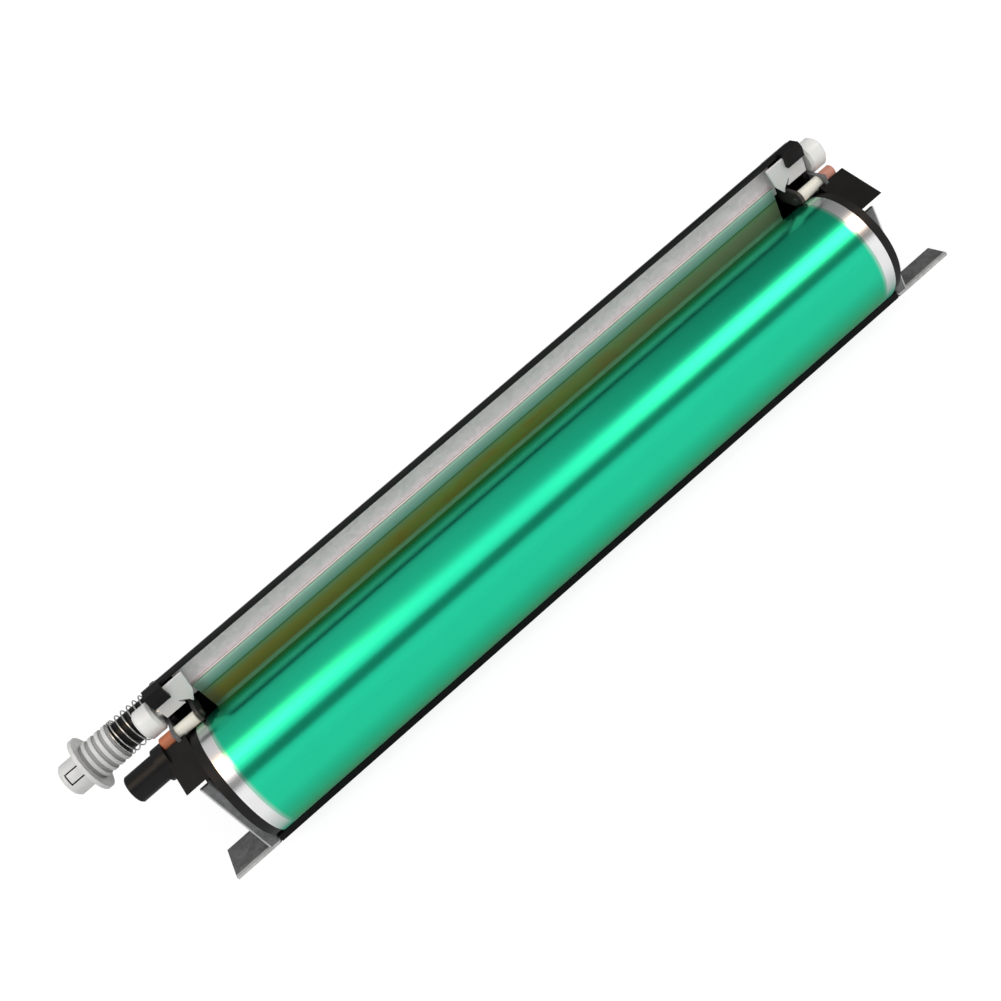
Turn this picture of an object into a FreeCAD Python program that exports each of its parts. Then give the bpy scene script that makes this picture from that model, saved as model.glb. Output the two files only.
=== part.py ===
import FreeCAD, Part
import Sketcher
import math
import os
from FreeCAD import Placement, Rotation, Vector

# Drum unit of a colour page printer, in millimetres.
# X is the drum's own axis, with the waste toner outlet at the -X end.
# The drum is bare on the -Y side, the cleaner lies behind it on the +Y side, and +Z is up.
# The unit stands on the feet of its two end plates and on its two cross members.

SIZES = {
    # Photoconductor drum, its end flanges and its bearings
    "drum_radius": 30.0,
    "drum_half": 183.0,
    "drum_wall": 1.5,
    "bare_band": 5.5,
    "coat_depth": 0.05,
    "flange_plug": 12.0,
    "flange_lip": 4.5,
    "flange_lip_drop": 1.2,
    "flange_web": 4.0,
    "flange_rim": 2.0,
    "hub_radius": 6.2,
    "shaft_bore": 4.0,
    "bearing_wall": 1.8,
    "bearing_rim": 1.2,
    "bearing_rim_width": 1.0,
    "running_gap": 0.05,
    "hub_stub": 2.4,
    "hub_slot": 4.0,
    "hub_slot_depth": 1.2,
    # End plates, pressed from zinc coated sheet
    "left_end_room": 7.4,
    "right_end_room": 8.6,
    "plate_wall": 1.6,
    "plate_bend": 1.4,
    "fold_bend": 0.15,
    "front_reach": 11.0,
    "rear_reach": 61.0,
    "base_drop": 33.5,
    "front_fold": 4.2,
    "left_foot": 23.6,
    "right_foot": 31.0,
    "left_foot_depth": 20.0,
    "right_foot_depth": 12.0,
    "rear_foot_depth": 16.0,
    "plate_shoulder": 16.0,
    # Cross members
    "rail_depth": 6.0,
    "rail_height": 3.5,
    "rail_wall": 1.5,
    "rail_end": 8.0,
    "stay_depth": 9.0,
    "stay_height": 14.0,
    # Cleaning blade, measured along and across its own plane
    "blade_short": 9.6,
    "holder_over": 3.0,
    "blade_gap": 0.3,
    "blade_turn": 35.0,
    "blade_lean": 9.23,
    "rubber_width": 21.7,
    "rubber_wall": 2.2,
    "holder_start": 15.8,
    "holder_end": 31.6,
    "holder_wall": 1.2,
    "web_start": 20.0,
    "web_end": 29.5,
    "web_wall": 1.6,
    "blade_screw_place": 5.5,
    "ear_gap": 1.2,
    "ear_wall": 1.6,
    "ear_rim": 2.6,
    "stud_rim": 1.1,
    # Pivot of the blade bracket, and the bushes that press it
    "pivot_y": 12.9,
    "pivot_z": 30.6,
    "pivot_radius": 1.6,
    "bush_radius": 3.3,
    "bush_length": 6.8,
    "collar_radius": 3.0,
    "collar_gap": 0.1,
    "stud_y": 22.7,
    "stud_z": 38.7,
    "stud_radius": 2.5,
    "press_radius": 7.5,
    "press_length": 9.2,
    "press_start": 0.5,
    "press_round": 1.2,
    # White seal plates that close the ends of the blade
    "seal_lap": 2.4,
    "seal_offset": 3.0,
    "seal_wall": 1.2,
    "seal_low": 20.5,
    "seal_high": 34.5,
    "seal_waist": 24.0,
    "toe_drop": 1.8,
    "toe_gap": 0.2,
    "toe_slit": 0.7,
    "toe_slit_rise": 3.2,
    "cap_lap": 2.0,
    "cap_low": 29.8,
    "cap_wall": 2.0,
    # Cleaner housing, moulded in black plastic
    "lip_front": 17.5,
    "lip_back": 20.4,
    "roof_height": 53.0,
    "lip_wall": 1.6,
    "housing_wall": 2.0,
    "side_wall": 2.5,
    "housing_gap": 0.5,
    "drum_clearance": 1.0,
    "catch_angle": -15.0,
    "catch_lap": 6.0,
    "rib_wall": 1.6,
    "rib_height": 2.0,
    "rib_pitch": 48.0,
    # Brush roller and toner screw
    "brush_radius": 7.7,
    "brush_gap": 0.3,
    "brush_angle": 10.0,
    "brush_short": 13.0,
    "brush_shaft": 3.0,
    "brush_space": 1.6,
    "screw_radius": 5.9,
    "screw_core": 2.5,
    "screw_pitch": 22.0,
    "screw_flight": 1.2,
    "screw_angle": 59.8,
    "bearing_bush_wall": 2.0,
    # Gears on the right-hand end plate, and the drive coupling on the left-hand one
    "gear_module": 1.0,
    "brush_teeth": 28,
    "screw_teeth": 18,
    "gear_width": 5.0,
    "gear_stand_off": 2.4,
    "gear_backlash": 0.16,
    "gear_centre_gap": 0.05,
    "coupling_radius": 6.0,
    "coupling_length": 9.0,
    "coupling_dogs": 3,
    "coupling_dog_height": 3.0,
    # Toner outlet pipe with its sprung shutter
    "pipe_radius": 7.75,
    "pipe_wall": 1.25,
    "pipe_seat_radius": 10.4,
    "pipe_seat": 1.5,
    "pipe_insert": 14.0,
    "cap_radius": 8.5,
    "cap_length": 11.3,
    "cap_floor": 3.0,
    "tongue_width": 5.4,
    "tongue_margin": 2.4,
    "tongue_land": 1.5,
    "tongue_slot": 0.7,
    "tongue_turn": 145.0,
    "flange_radius": 14.3,
    "flange_wall": 1.9,
    "sleeve_length": 17.8,
    "sleeve_radius": 8.9,
    "sleeve_gap": 0.1,
    "sleeve_rib": 0.75,
    "sleeve_rib_width": 2.6,
    "sleeve_rib_pitch": 3.75,
    "outlet_length": 9.0,
    "outlet_width": 8.0,
    "outlet_room": 4.6,
    "spring_wire": 0.36,
    "spring_radius": 9.35,
    "spring_turns": 7,
    "spring_length": 26.4,
    # Black end covers and the locating boss
    "cover_room": 5.3,
    "left_cover_reach": 10.4,
    "right_cover_reach": 11.4,
    "cover_top_y": 9.0,
    "cover_top_z": 30.3,
    "cover_foot_y": -12.3,
    "cover_foot_z": 19.6,
    "cover_wall": 1.8,
    "cover_depth": 4.5,
    "cover_screw_rise": 8.0,
    "cover_tab_half": 4.0,
    "cover_tab_drop": 3.2,
    "cover_tab_clear": 0.78,
    "cover_tab_wall": 1.7,
    "boss_y": 10.5,
    "boss_z": 24.5,
    "boss_radius": 6.9,
    "boss_length": 15.9,
    "boss_collar_radius": 8.4,
    "boss_collar": 3.8,
    # Fasteners
    "screw_shank": 1.5,
    "screw_clearance": 0.05,
    "screw_head": 2.9,
    "screw_head_height": 2.0,
    "screw_grip": 3.6,
}


class Size:
    """A length together with the sheet formula that gives it."""

    def __init__(self, value, formula):
        self.value = float(value)
        self.formula = formula

    def __add__(self, other):
        return Size(self.value + number(other), f"({self.formula} + {words(other)})")

    def __radd__(self, other):
        return Size(number(other) + self.value, f"({words(other)} + {self.formula})")

    def __sub__(self, other):
        return Size(self.value - number(other), f"({self.formula} - {words(other)})")

    def __rsub__(self, other):
        return Size(number(other) - self.value, f"({words(other)} - {self.formula})")

    def __mul__(self, other):
        return Size(self.value * number(other), f"({self.formula} * {words(other)})")

    def __rmul__(self, other):
        return Size(number(other) * self.value, f"({words(other)} * {self.formula})")

    def __truediv__(self, other):
        return Size(self.value / number(other), f"({self.formula} / {words(other)})")

    def __neg__(self):
        return Size(-self.value, f"(0 - {self.formula})")


def number(size):
    """The plain number of a size."""
    return size.value if isinstance(size, Size) else float(size)


def words(size):
    """The formula of a size, as text."""
    return size.formula if isinstance(size, Size) else repr(float(size))


class Dims:
    """Every size of the sheet, as an attribute of its own name."""


doc = FreeCAD.newDocument("drum_unit")
sheet = doc.addObject("Spreadsheet::Sheet", "dims")
d = Dims()


def keep(alias, value):
    """Write one size into the next row of the sheet and return it."""
    row = len(vars(d)) + 1
    sheet.set(f"A{row}", alias)
    sheet.set(f"B{row}", repr(float(value)))
    sheet.setAlias(f"B{row}", alias)
    setattr(d, alias, Size(value, f"dims.{alias}"))


for size_name, size_value in SIZES.items():
    keep(size_name, size_value)


# Lengths along the drum that follow from its own length

d.left_plate = d.drum_half + d.left_end_room
d.right_plate = d.drum_half + d.right_end_room
d.blade_half = d.drum_half - d.blade_short
d.holder_half = d.blade_half + d.holder_over
d.ear_inner = d.holder_half + d.ear_gap
d.collar_start = d.ear_inner + d.ear_wall + d.collar_gap
d.seal_start = d.blade_half - d.seal_lap
d.cap_start = d.drum_half - d.cap_lap
d.brush_half = d.drum_half - d.brush_short
d.cover_inner = d.drum_half + d.cover_room
d.left_cover = d.left_plate + d.left_cover_reach
d.right_cover = d.right_plate + d.right_cover_reach
d.sleeve_end = d.left_plate + d.plate_wall + d.pipe_seat + d.spring_length
d.cap_mouth = d.sleeve_end + d.sleeve_length
d.cap_end = d.cap_mouth + d.cap_length
d.pipe_end = d.cap_end - d.cap_floor
d.outlet_start = d.sleeve_end + d.outlet_room
d.tongue_length = d.cap_length - d.tongue_margin - d.tongue_land


# Places that follow from the sizes

def polar(radius, degrees):
    """A point at a distance and an angle from the drum axis, in the end view."""
    turn = math.radians(degrees)
    return Vector(radius * math.cos(turn), radius * math.sin(turn), 0.0)


def pitch_radius(teeth):
    """Pitch radius of a gear of so many teeth."""
    return teeth.value * d.gear_module.value / 2


def centres(first, second):
    """Distance between the axes of two gears in mesh."""
    return pitch_radius(first) + pitch_radius(second) + d.gear_centre_gap.value


brush_reach = d.drum_radius.value + d.brush_gap.value + d.brush_radius.value
brush_axis = polar(brush_reach, d.brush_angle.value)
screw_axis = brush_axis + polar(centres(d.brush_teeth, d.screw_teeth), d.screw_angle.value)
tip = polar(d.drum_radius.value + d.blade_gap.value, d.blade_turn.value)
along = polar(1.0, 90.0 + d.blade_lean.value)
forward = Vector(-along.y, along.x, 0.0)

for axis_name, axis_place in (("brush", brush_axis), ("screw", screw_axis)):
    keep(f"{axis_name}_axis_y", axis_place.x)
    keep(f"{axis_name}_axis_z", axis_place.y)
doc.recompute()

LEFT = -1
RIGHT = 1
SIDES = (("left", LEFT), ("right", RIGHT))


def inner(side):
    """Distance from the middle to the inner face of an end plate."""
    return d.right_plate if side > 0 else d.left_plate


def outer(side):
    """Distance from the middle to the outer face of an end plate."""
    return inner(side) + d.plate_wall


def housing_end(side):
    """Distance from the middle to an end of the cleaner housing."""
    return inner(side) - d.housing_gap


gear_start = outer(RIGHT) + d.gear_stand_off
gear_end = gear_start + d.gear_width

NODES = []


def node(name, obj):
    """Give a finished piece its own name and add it to the list of pieces."""
    obj.Label = name
    NODES.append(obj)
    return obj


def bind(obj, prop, size):
    """Tie a property to the sheet."""
    obj.setExpression(prop, words(size))


def place(obj, x, y, z):
    """Tie the place of an object to the sheet."""
    bind(obj, "Placement.Base.x", x)
    bind(obj, "Placement.Base.y", y)
    bind(obj, "Placement.Base.z", z)


def span(side, near, far):
    """Start and end along X of what lies between two distances from the middle."""
    return (near, far) if side > 0 else (-far, -near)


def rod(name, radius, start, end, y=0.0, z=0.0):
    """Round bar along X."""
    obj = doc.addObject("Part::Cylinder", name)
    obj.Placement = Placement(Vector(), Rotation(Vector(0, 1, 0), 90))
    bind(obj, "Radius", radius)
    bind(obj, "Height", end - start)
    place(obj, start, y, z)
    return obj


def block(name, x, y, z):
    """Box between pairs of places along each axis."""
    obj = doc.addObject("Part::Box", name)
    bind(obj, "Length", x[1] - x[0])
    bind(obj, "Width", y[1] - y[0])
    bind(obj, "Height", z[1] - z[0])
    place(obj, x[0], y[0], z[0])
    return obj


def fuse(name, parts):
    """One piece made of several."""
    obj = doc.addObject("Part::MultiFuse", name)
    obj.Shapes = parts
    return obj


def cut(name, base, tools):
    """A piece with other shapes taken out of it."""
    obj = doc.addObject("Part::Cut", name)
    obj.Base = base
    obj.Tool = tools[0] if len(tools) == 1 else fuse(f"{name}_tools", tools)
    return obj


def solid(name, shape):
    """A piece whose form is given directly."""
    obj = doc.addObject("Part::Feature", name)
    obj.Shape = shape
    return obj


def sketch_on(body, role):
    """Empty sketch on one of a body's own planes."""
    sketch = body.newObject("Sketcher::SketchObject", f"{body.Name}_sketch")
    plane = next(item for item in body.Origin.OriginFeatures if item.Role == role)
    sketch.AttachmentSupport = [(plane, "")]
    sketch.MapMode = "FlatFace"
    return sketch


def outline(sketch, points):
    """Closed outline of straight edges, with each corner tied to the sheet."""
    corners = [Vector(number(a), number(b), 0) for a, b in points]
    first = sketch.GeometryCount
    for index, corner in enumerate(corners):
        following = corners[(index + 1) % len(corners)]
        sketch.addGeometry(Part.LineSegment(corner, following), False)
    for index, (across, up) in enumerate(points):
        edge = first + index
        before = first + (index - 1) % len(points)
        sketch.addConstraint(Sketcher.Constraint("Coincident", before, 2, edge, 1))
        for kind, size in (("DistanceX", across), ("DistanceY", up)):
            place_of = sketch.addConstraint(Sketcher.Constraint(kind, edge, 1, number(size)))
            sketch.setExpression(f"Constraints[{place_of}]", words(size))


def turned(name, points, y=0.0, z=0.0):
    """Piece turned about X, from an outline of places along X and radii."""
    body = doc.addObject("PartDesign::Body", name)
    sketch = sketch_on(body, "XY_Plane")
    outline(sketch, points)
    turn = body.newObject("PartDesign::Revolution", f"{name}_turn")
    turn.Profile = sketch
    turn.ReferenceAxis = (sketch, ["H_Axis"])
    turn.Angle = 360.0
    sketch.Visibility = False
    place(body, 0.0, y, z)
    return body


def padded(name, points, start, end):
    """Flat piece with an outline in the end view, between two places along X."""
    body = doc.addObject("PartDesign::Body", name)
    sketch = sketch_on(body, "YZ_Plane")
    outline(sketch, points)
    pad = body.newObject("PartDesign::Pad", f"{name}_pad")
    pad.Profile = sketch
    bind(pad, "Length", end - start)
    sketch.Visibility = False
    place(body, start, 0.0, 0.0)
    return body


def mirrored(points):
    """The same turned outline for the other end of the unit."""
    return [(-x, r) for x, r in points]


def ended(side, points):
    """A turned outline, mirrored at the left end."""
    return points if side > 0 else mirrored(points)


def blade_point(up, out):
    """Point in the end view, by its distances along the blade and in front of it."""
    place_of = tip + along * up + forward * out
    return (place_of.x, place_of.y)


def prism(points, start, end):
    """Solid with an outline in the end view, between two places along X."""
    corners = [Vector(start, y, z) for y, z in points]
    face = Part.Face(Part.makePolygon(corners + corners[:1]))
    return face.extrude(Vector(end - start, 0, 0))


# Photoconductor drum: an aluminium tube, coated except for a bare band at each end

def make_drum():
    """Coated tube with its two moulded flanges; a slot across each hub takes the drive."""
    inner = d.drum_radius - d.drum_wall
    bare = d.drum_radius - d.coat_depth
    coated = d.drum_half - d.bare_band
    node("drum_tube", turned("drum_tube", [
        (-d.drum_half, inner),
        (d.drum_half, inner),
        (d.drum_half, bare),
        (coated, bare),
        (coated, d.drum_radius),
        (-coated, d.drum_radius),
        (-coated, bare),
        (-d.drum_half, bare),
    ]))
    for label, side in SIDES:
        lip_end = d.drum_half + d.flange_lip
        hub_end = outer(side) + d.hub_stub
        web_start = lip_end - d.flange_web
        lip = d.drum_radius - d.flange_lip_drop
        profile = [
            (web_start, d.shaft_bore),
            (hub_end, d.shaft_bore),
            (hub_end, d.hub_radius),
            (lip_end, d.hub_radius),
            (lip_end, lip),
            (d.drum_half, lip),
            (d.drum_half, inner),
            (d.drum_half - d.flange_plug, inner),
            (d.drum_half - d.flange_plug, inner - d.flange_rim),
            (web_start, inner - d.flange_rim),
        ]
        name = f"drum_flange_{label}"
        blank = turned(f"{name}_blank", ended(side, profile))
        slot = block(f"{name}_slot", span(side, hub_end - d.hub_slot_depth, hub_end + 1.0),
                     (-d.hub_radius - 1.0, d.hub_radius + 1.0), (-d.hub_slot / 2, d.hub_slot / 2))
        node(name, cut(name, blank, [slot]))


def make_drum_bearings():
    """Rimmed plastic bearings that carry the drum hubs in the end plates."""
    for label, side in SIDES:
        bore = d.hub_radius + d.running_gap
        outside = d.hub_radius + d.bearing_wall
        profile = [
            (inner(side) - 1.5, bore),
            (outer(side) + d.bearing_rim_width, bore),
            (outer(side) + d.bearing_rim_width, outside + d.bearing_rim),
            (outer(side), outside + d.bearing_rim),
            (outer(side), outside),
            (inner(side) - 1.5, outside),
        ]
        node(f"drum_bearing_{label}", turned(f"drum_bearing_{label}", ended(side, profile)))


# Gears

def gear_phase(first, second, first_phase, direction):
    """Turn of the second gear that puts a tooth space against the first one's tooth."""
    first_pitch = 360.0 / first.value
    second_pitch = 360.0 / second.value
    share = (direction - first_phase) / first_pitch
    return direction + 180.0 - second_pitch * (0.5 - share)


def tooth_half_angle(radius, teeth):
    """Half of a tooth's thickness, in radians, at a radius on its involute flank."""
    pressure = math.radians(20.0)
    pitch = pitch_radius(teeth)
    base = pitch * math.cos(pressure)
    at = math.acos(min(1.0, base / radius))
    at_pitch = math.tan(pressure) - pressure
    thickness = math.pi * d.gear_module.value / 2 - d.gear_backlash.value
    return thickness / (2 * pitch) + at_pitch - (math.tan(at) - at)


def gear_shape(teeth, phase, centre, bore):
    """Spur gear about X, with a tooth at the given turn."""
    module = d.gear_module.value
    pitch = pitch_radius(teeth)
    root = pitch - 1.2 * module
    outside = pitch + 0.9 * module
    steps = (root, pitch - 0.45 * module, pitch + 0.2 * module, outside)
    points = []
    for index in range(int(teeth.value)):
        middle = math.radians(phase) + index * 2 * math.pi / teeth.value
        rising = [(radius, -tooth_half_angle(radius, teeth)) for radius in steps]
        falling = [(radius, -turn) for radius, turn in reversed(rising)]
        for radius, turn in rising + falling:
            angle = middle + turn
            points.append((centre.x + radius * math.cos(angle), centre.y + radius * math.sin(angle)))
    blank = prism(points, gear_start.value, gear_end.value)
    start = Vector(gear_start.value - 1, centre.x, centre.y)
    hole = Part.makeCylinder(bore, d.gear_width.value + 2, start, Vector(1, 0, 0))
    return blank.cut(hole)


def make_gears():
    """Spur gears that drive the toner screw from the brush, and the brush's own coupling."""
    brush_phase = 0.0
    screw_phase = gear_phase(d.brush_teeth, d.screw_teeth, brush_phase, d.screw_angle.value)
    plans = (
        ("brush_gear", d.brush_teeth, brush_phase, brush_axis, d.brush_shaft.value),
        ("screw_gear", d.screw_teeth, screw_phase, screw_axis, d.screw_core.value),
    )
    for name, teeth, phase, centre, bore in plans:
        node(name, solid(name, gear_shape(teeth, phase, centre, bore)))
    start = outer(LEFT).value + 2.6
    end = start + d.coupling_length.value
    body = x_cylinder(d.coupling_radius.value, -end, -start, brush_axis)
    body = body.cut(x_cylinder(d.brush_shaft.value, -end - 1, -start + 1, brush_axis))
    count = int(d.coupling_dogs.value)
    share = 180.0 / count
    for index in range(count):
        turn = index * 2 * share
        reach = d.coupling_radius.value * 2
        gap = [brush_axis, brush_axis + polar(reach, turn), brush_axis + polar(reach * 1.4, turn + share / 2),
               brush_axis + polar(reach, turn + share)]
        flat = [(point.x, point.y) for point in gap]
        body = body.cut(prism(flat, -end - 1, -end + d.coupling_dog_height.value))
    node("drive_coupling", solid("drive_coupling", body))


# End plates: pressed sheet with a folded front edge and folded feet

def plate_outline():
    """Corners of an end plate in the end view, with a notch for the stud of the blade bracket."""
    slope = (d.cover_top_z.value - d.cover_foot_z.value) / (d.cover_top_y.value - d.cover_foot_y.value)
    shoulder = Size(slope, repr(slope)) * (d.cover_top_y + d.front_reach)
    front = d.pivot_y - 5.2
    notch = d.stud_y + 4.6
    return [
        (-d.front_reach, -d.base_drop),
        (-d.front_reach, d.plate_shoulder),
        (front, d.plate_shoulder + shoulder - 1.6),
        (front, d.pivot_z + 3.5),
        (d.pivot_y + 4.6, d.pivot_z + 3.5),
        (notch, d.stud_z - 4.2),
        (notch, d.roof_height - 3.4),
        (d.screw_axis_y + 5.0, d.screw_axis_z + 8.6),
        (d.rear_reach, d.screw_axis_z - 2.0),
        (d.rear_reach, -d.base_drop),
    ]


def bent_flange(side, corner, up, run, reach, tight):
    """Flange folded outwards from an edge of an end plate, with a round bend.

    The corner is where the two flat faces would meet, up leads into the plate, run goes along
    the bend, reach is how far the flange stands out from the plate's inner face, and tight is
    the radius inside the bend.
    """
    wall = d.plate_wall.value
    bend = wall + tight
    middle = math.sqrt(0.5)

    def at(out, rise):
        return corner + Vector(side * out, 0, 0) + up * rise

    outside = bend - bend * middle
    inside = bend - tight * middle
    edges = [
        Part.Arc(at(0, bend), at(outside, outside), at(bend, 0)).toShape(),
        Part.makeLine(at(bend, 0), at(reach, 0)),
        Part.makeLine(at(reach, 0), at(reach, wall)),
        Part.makeLine(at(reach, wall), at(bend, wall)),
        Part.Arc(at(bend, wall), at(inside, inside), at(wall, bend)).toShape(),
        Part.makeLine(at(wall, bend), at(0, bend)),
    ]
    return Part.Face(Part.Wire(edges)).extrude(run)


def make_end_plates():
    """Left and right end plates."""
    for label, side in SIDES:
        name = f"end_plate_{label}"
        near = inner(side)
        far = outer(side)
        web = padded(f"{name}_web", plate_outline(), *span(side, near, far))
        foot = d.right_foot if side > 0 else d.left_foot
        depth = d.right_foot_depth if side > 0 else d.left_foot_depth
        tight = d.plate_bend.value
        low = (-d.base_drop, d.plate_wall + d.plate_bend - d.base_drop)
        rear = d.rear_reach - d.rear_foot_depth
        fold_top = d.plate_shoulder
        trimmed = cut(f"{name}_trimmed", web, [
            block(f"{name}_front_relief", span(side, near, far), (-d.front_reach, depth - d.front_reach), low),
            block(f"{name}_rear_relief", span(side, near, far), (rear, d.rear_reach), low),
            block(f"{name}_fold_relief", span(side, near, far),
                  (-d.front_reach, d.plate_wall + d.fold_bend - d.front_reach), (-d.base_drop, fold_top)),
        ])
        corner = Vector(side * near.value, -d.front_reach.value, -d.base_drop.value)
        rear_corner = Vector(corner.x, rear.value, corner.z)
        blank = fuse(f"{name}_blank", [
            trimmed,
            solid(f"{name}_foot", bent_flange(side, corner, Vector(0, 0, 1),
                                              Vector(0, depth.value, 0), (far + foot - near).value, tight)),
            solid(f"{name}_rear_foot", bent_flange(side, rear_corner, Vector(0, 0, 1),
                                                   Vector(0, d.rear_foot_depth.value, 0),
                                                   (far + foot * 0.7 - near).value, tight)),
            solid(f"{name}_fold", bent_flange(side, corner, Vector(0, 1, 0),
                                              Vector(0, 0, (fold_top + d.base_drop).value),
                                              (far + d.front_fold - near).value, d.fold_bend.value)),
        ])
        through = span(side, near - 1.0, far + 1.0)
        screw_hole = d.screw_core + d.bearing_bush_wall if side > 0 else d.pipe_radius
        tools = [
            rod(f"{name}_drum_hole", d.hub_radius + d.bearing_wall, *through),
            rod(f"{name}_pivot_hole", d.pivot_radius + 0.6, *through, d.pivot_y, d.pivot_z),
            rod(f"{name}_brush_hole", d.brush_shaft + d.bearing_bush_wall, *through,
                d.brush_axis_y, d.brush_axis_z),
            rod(f"{name}_screw_hole", screw_hole, *through, d.screw_axis_y, d.screw_axis_z),
        ]
        hole = d.screw_shank + d.screw_clearance
        for index, (y, z) in enumerate(plate_screws()):
            tools.append(rod(f"{name}_fixing_{index}", hole, *through, y, z))
        tools.append(rod(f"{name}_cover_fixing", hole, *through, 0.0, cover_screw_height()))
        node(name, cut(name, blank, tools))


def plate_screws():
    """Places of the screws that hold the cross members and the housing to a plate."""
    return [
        (-d.front_reach + d.plate_wall + d.plate_bend + d.screw_head + 0.2, -d.base_drop + d.rail_height + 3.0),
        (d.rear_reach - d.stay_depth - 5.0, -d.base_drop + d.stay_height / 2),
        (d.stud_y + 12.5, d.stud_z + 2.0),
        (d.stud_y + 11.5, d.stud_z - 19.0),
        (d.screw_axis_y + 1.0, d.screw_axis_z - 14.0),
    ]


def cover_screw_height():
    """Height of the screw that holds an end cover."""
    return d.hub_radius + d.bearing_wall + d.bearing_rim + d.cover_screw_rise


# Cross members

def make_cross_members():
    """Black front rail under the drum and zinc coated stay at the rear."""
    front = -d.front_reach
    reach = (-inner(LEFT), inner(RIGHT))
    bar = block("front_rail_bar", reach, (front, front + d.rail_depth),
                (-d.base_drop, -d.base_drop + d.rail_height))
    groove = block("front_rail_groove", (d.rail_end - inner(LEFT), inner(RIGHT) - d.rail_end),
                   (front + d.rail_wall, front + d.rail_depth - d.rail_wall),
                   (-d.base_drop - 1.0, -d.base_drop + d.rail_height - d.rail_wall))
    channel = cut("front_rail_channel", bar, [groove])
    tabs = []
    holes = []
    screw_y, screw_z = plate_screws()[0]
    for label, side in SIDES:
        tabs.append(block(f"front_rail_tab_{label}", span(side, inner(side) - 2.5, inner(side)),
                          (front + 1.8, screw_y + 3.2), (-d.base_drop + 1.0, screw_z + 3.2)))
        holes.append(rod(f"front_rail_hole_{label}", d.screw_shank + d.screw_clearance,
                         *span(side, inner(side) - 4.0, inner(side) + 1.0), screw_y, screw_z))
    node("front_rail", cut("front_rail", fuse("front_rail_blank", [channel] + tabs), holes))

    back = d.rear_reach
    wall = d.plate_wall
    upright = block("rear_stay_web", reach, (back - wall, back), (-d.base_drop, -d.base_drop + d.stay_height))
    shelf = block("rear_stay_shelf", reach, (back - d.stay_depth, back), (-d.base_drop, -d.base_drop + wall))
    screw_y, screw_z = plate_screws()[1]
    tabs = []
    holes = []
    for label, side in SIDES:
        tabs.append(block(f"rear_stay_tab_{label}", span(side, inner(side) - wall, inner(side)),
                          (screw_y - 4.0, back), (-d.base_drop, -d.base_drop + d.stay_height)))
        holes.append(rod(f"rear_stay_hole_{label}", d.screw_shank + d.screw_clearance,
                         *span(side, inner(side) - 4.0, inner(side) + 1.0), screw_y, screw_z))
    node("rear_stay", cut("rear_stay", fuse("rear_stay_blank", [upright, shelf] + tabs), holes))


# Cleaner housing

def tangent_normal(point, centre, radius, turn):
    """Unit normal at which the line from a point touches a circle, on the chosen side."""
    gap = centre - point
    lean = math.asin(radius / gap.Length)
    heading = math.atan2(gap.y, gap.x) + turn * lean
    return Vector(-math.sin(heading), math.cos(heading), 0.0) * turn


def shell_wire(inset, extra):
    """Outline of the cleaner in the end view, moved inwards by an inset, and open to the drum."""
    trough = d.pipe_radius.value + d.running_gap.value + d.housing_wall.value
    tub = d.brush_radius.value + d.brush_space.value + d.housing_wall.value
    ridge = Vector(d.lip_back.value, d.roof_height.value, 0)
    catch = polar(d.drum_radius.value + d.drum_clearance.value + 0.3, d.catch_angle.value)
    roof_normal = tangent_normal(ridge, screw_axis, trough, 1.0)
    floor_normal = tangent_normal(catch, brush_axis, tub, -1.0)
    between = brush_axis - screw_axis
    lean = math.asin((trough - tub) / between.Length)
    heading = math.atan2(between.y, between.x) + lean
    back_normal = Vector(-math.sin(heading), math.cos(heading), 0.0)
    trough_in = trough - inset
    tub_in = tub - inset
    roof_touch = screw_axis + roof_normal * trough_in
    trough_leave = screw_axis + back_normal * trough_in
    tub_meet = brush_axis + back_normal * tub_in
    floor_touch = brush_axis + floor_normal * tub_in
    trough_mid = screw_axis + (roof_normal + back_normal).normalize() * trough_in
    tub_mid = brush_axis + (back_normal + floor_normal).normalize() * tub_in
    ceiling = d.roof_height.value - (d.lip_wall.value if inset else 0.0)
    slope = Vector(roof_normal.y, -roof_normal.x, 0)
    ridge_in = roof_touch + slope * ((ceiling - roof_touch.y) / slope.y)
    catch_in = catch - floor_normal * inset
    front = d.lip_front.value - extra
    floor_run = (catch - floor_touch).normalize()
    mouth = catch_in + (Vector(-4.0, 0.6, 0) if inset else Vector())
    edges = [
        Part.LineSegment(Vector(front, ceiling, 0), ridge_in),
        Part.LineSegment(ridge_in, roof_touch),
        Part.Arc(roof_touch, trough_mid, trough_leave),
        Part.LineSegment(trough_leave, tub_meet),
        Part.Arc(tub_meet, tub_mid, floor_touch),
        Part.LineSegment(floor_touch, catch_in),
    ]
    return edges, mouth, front, ceiling, floor_run


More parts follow.
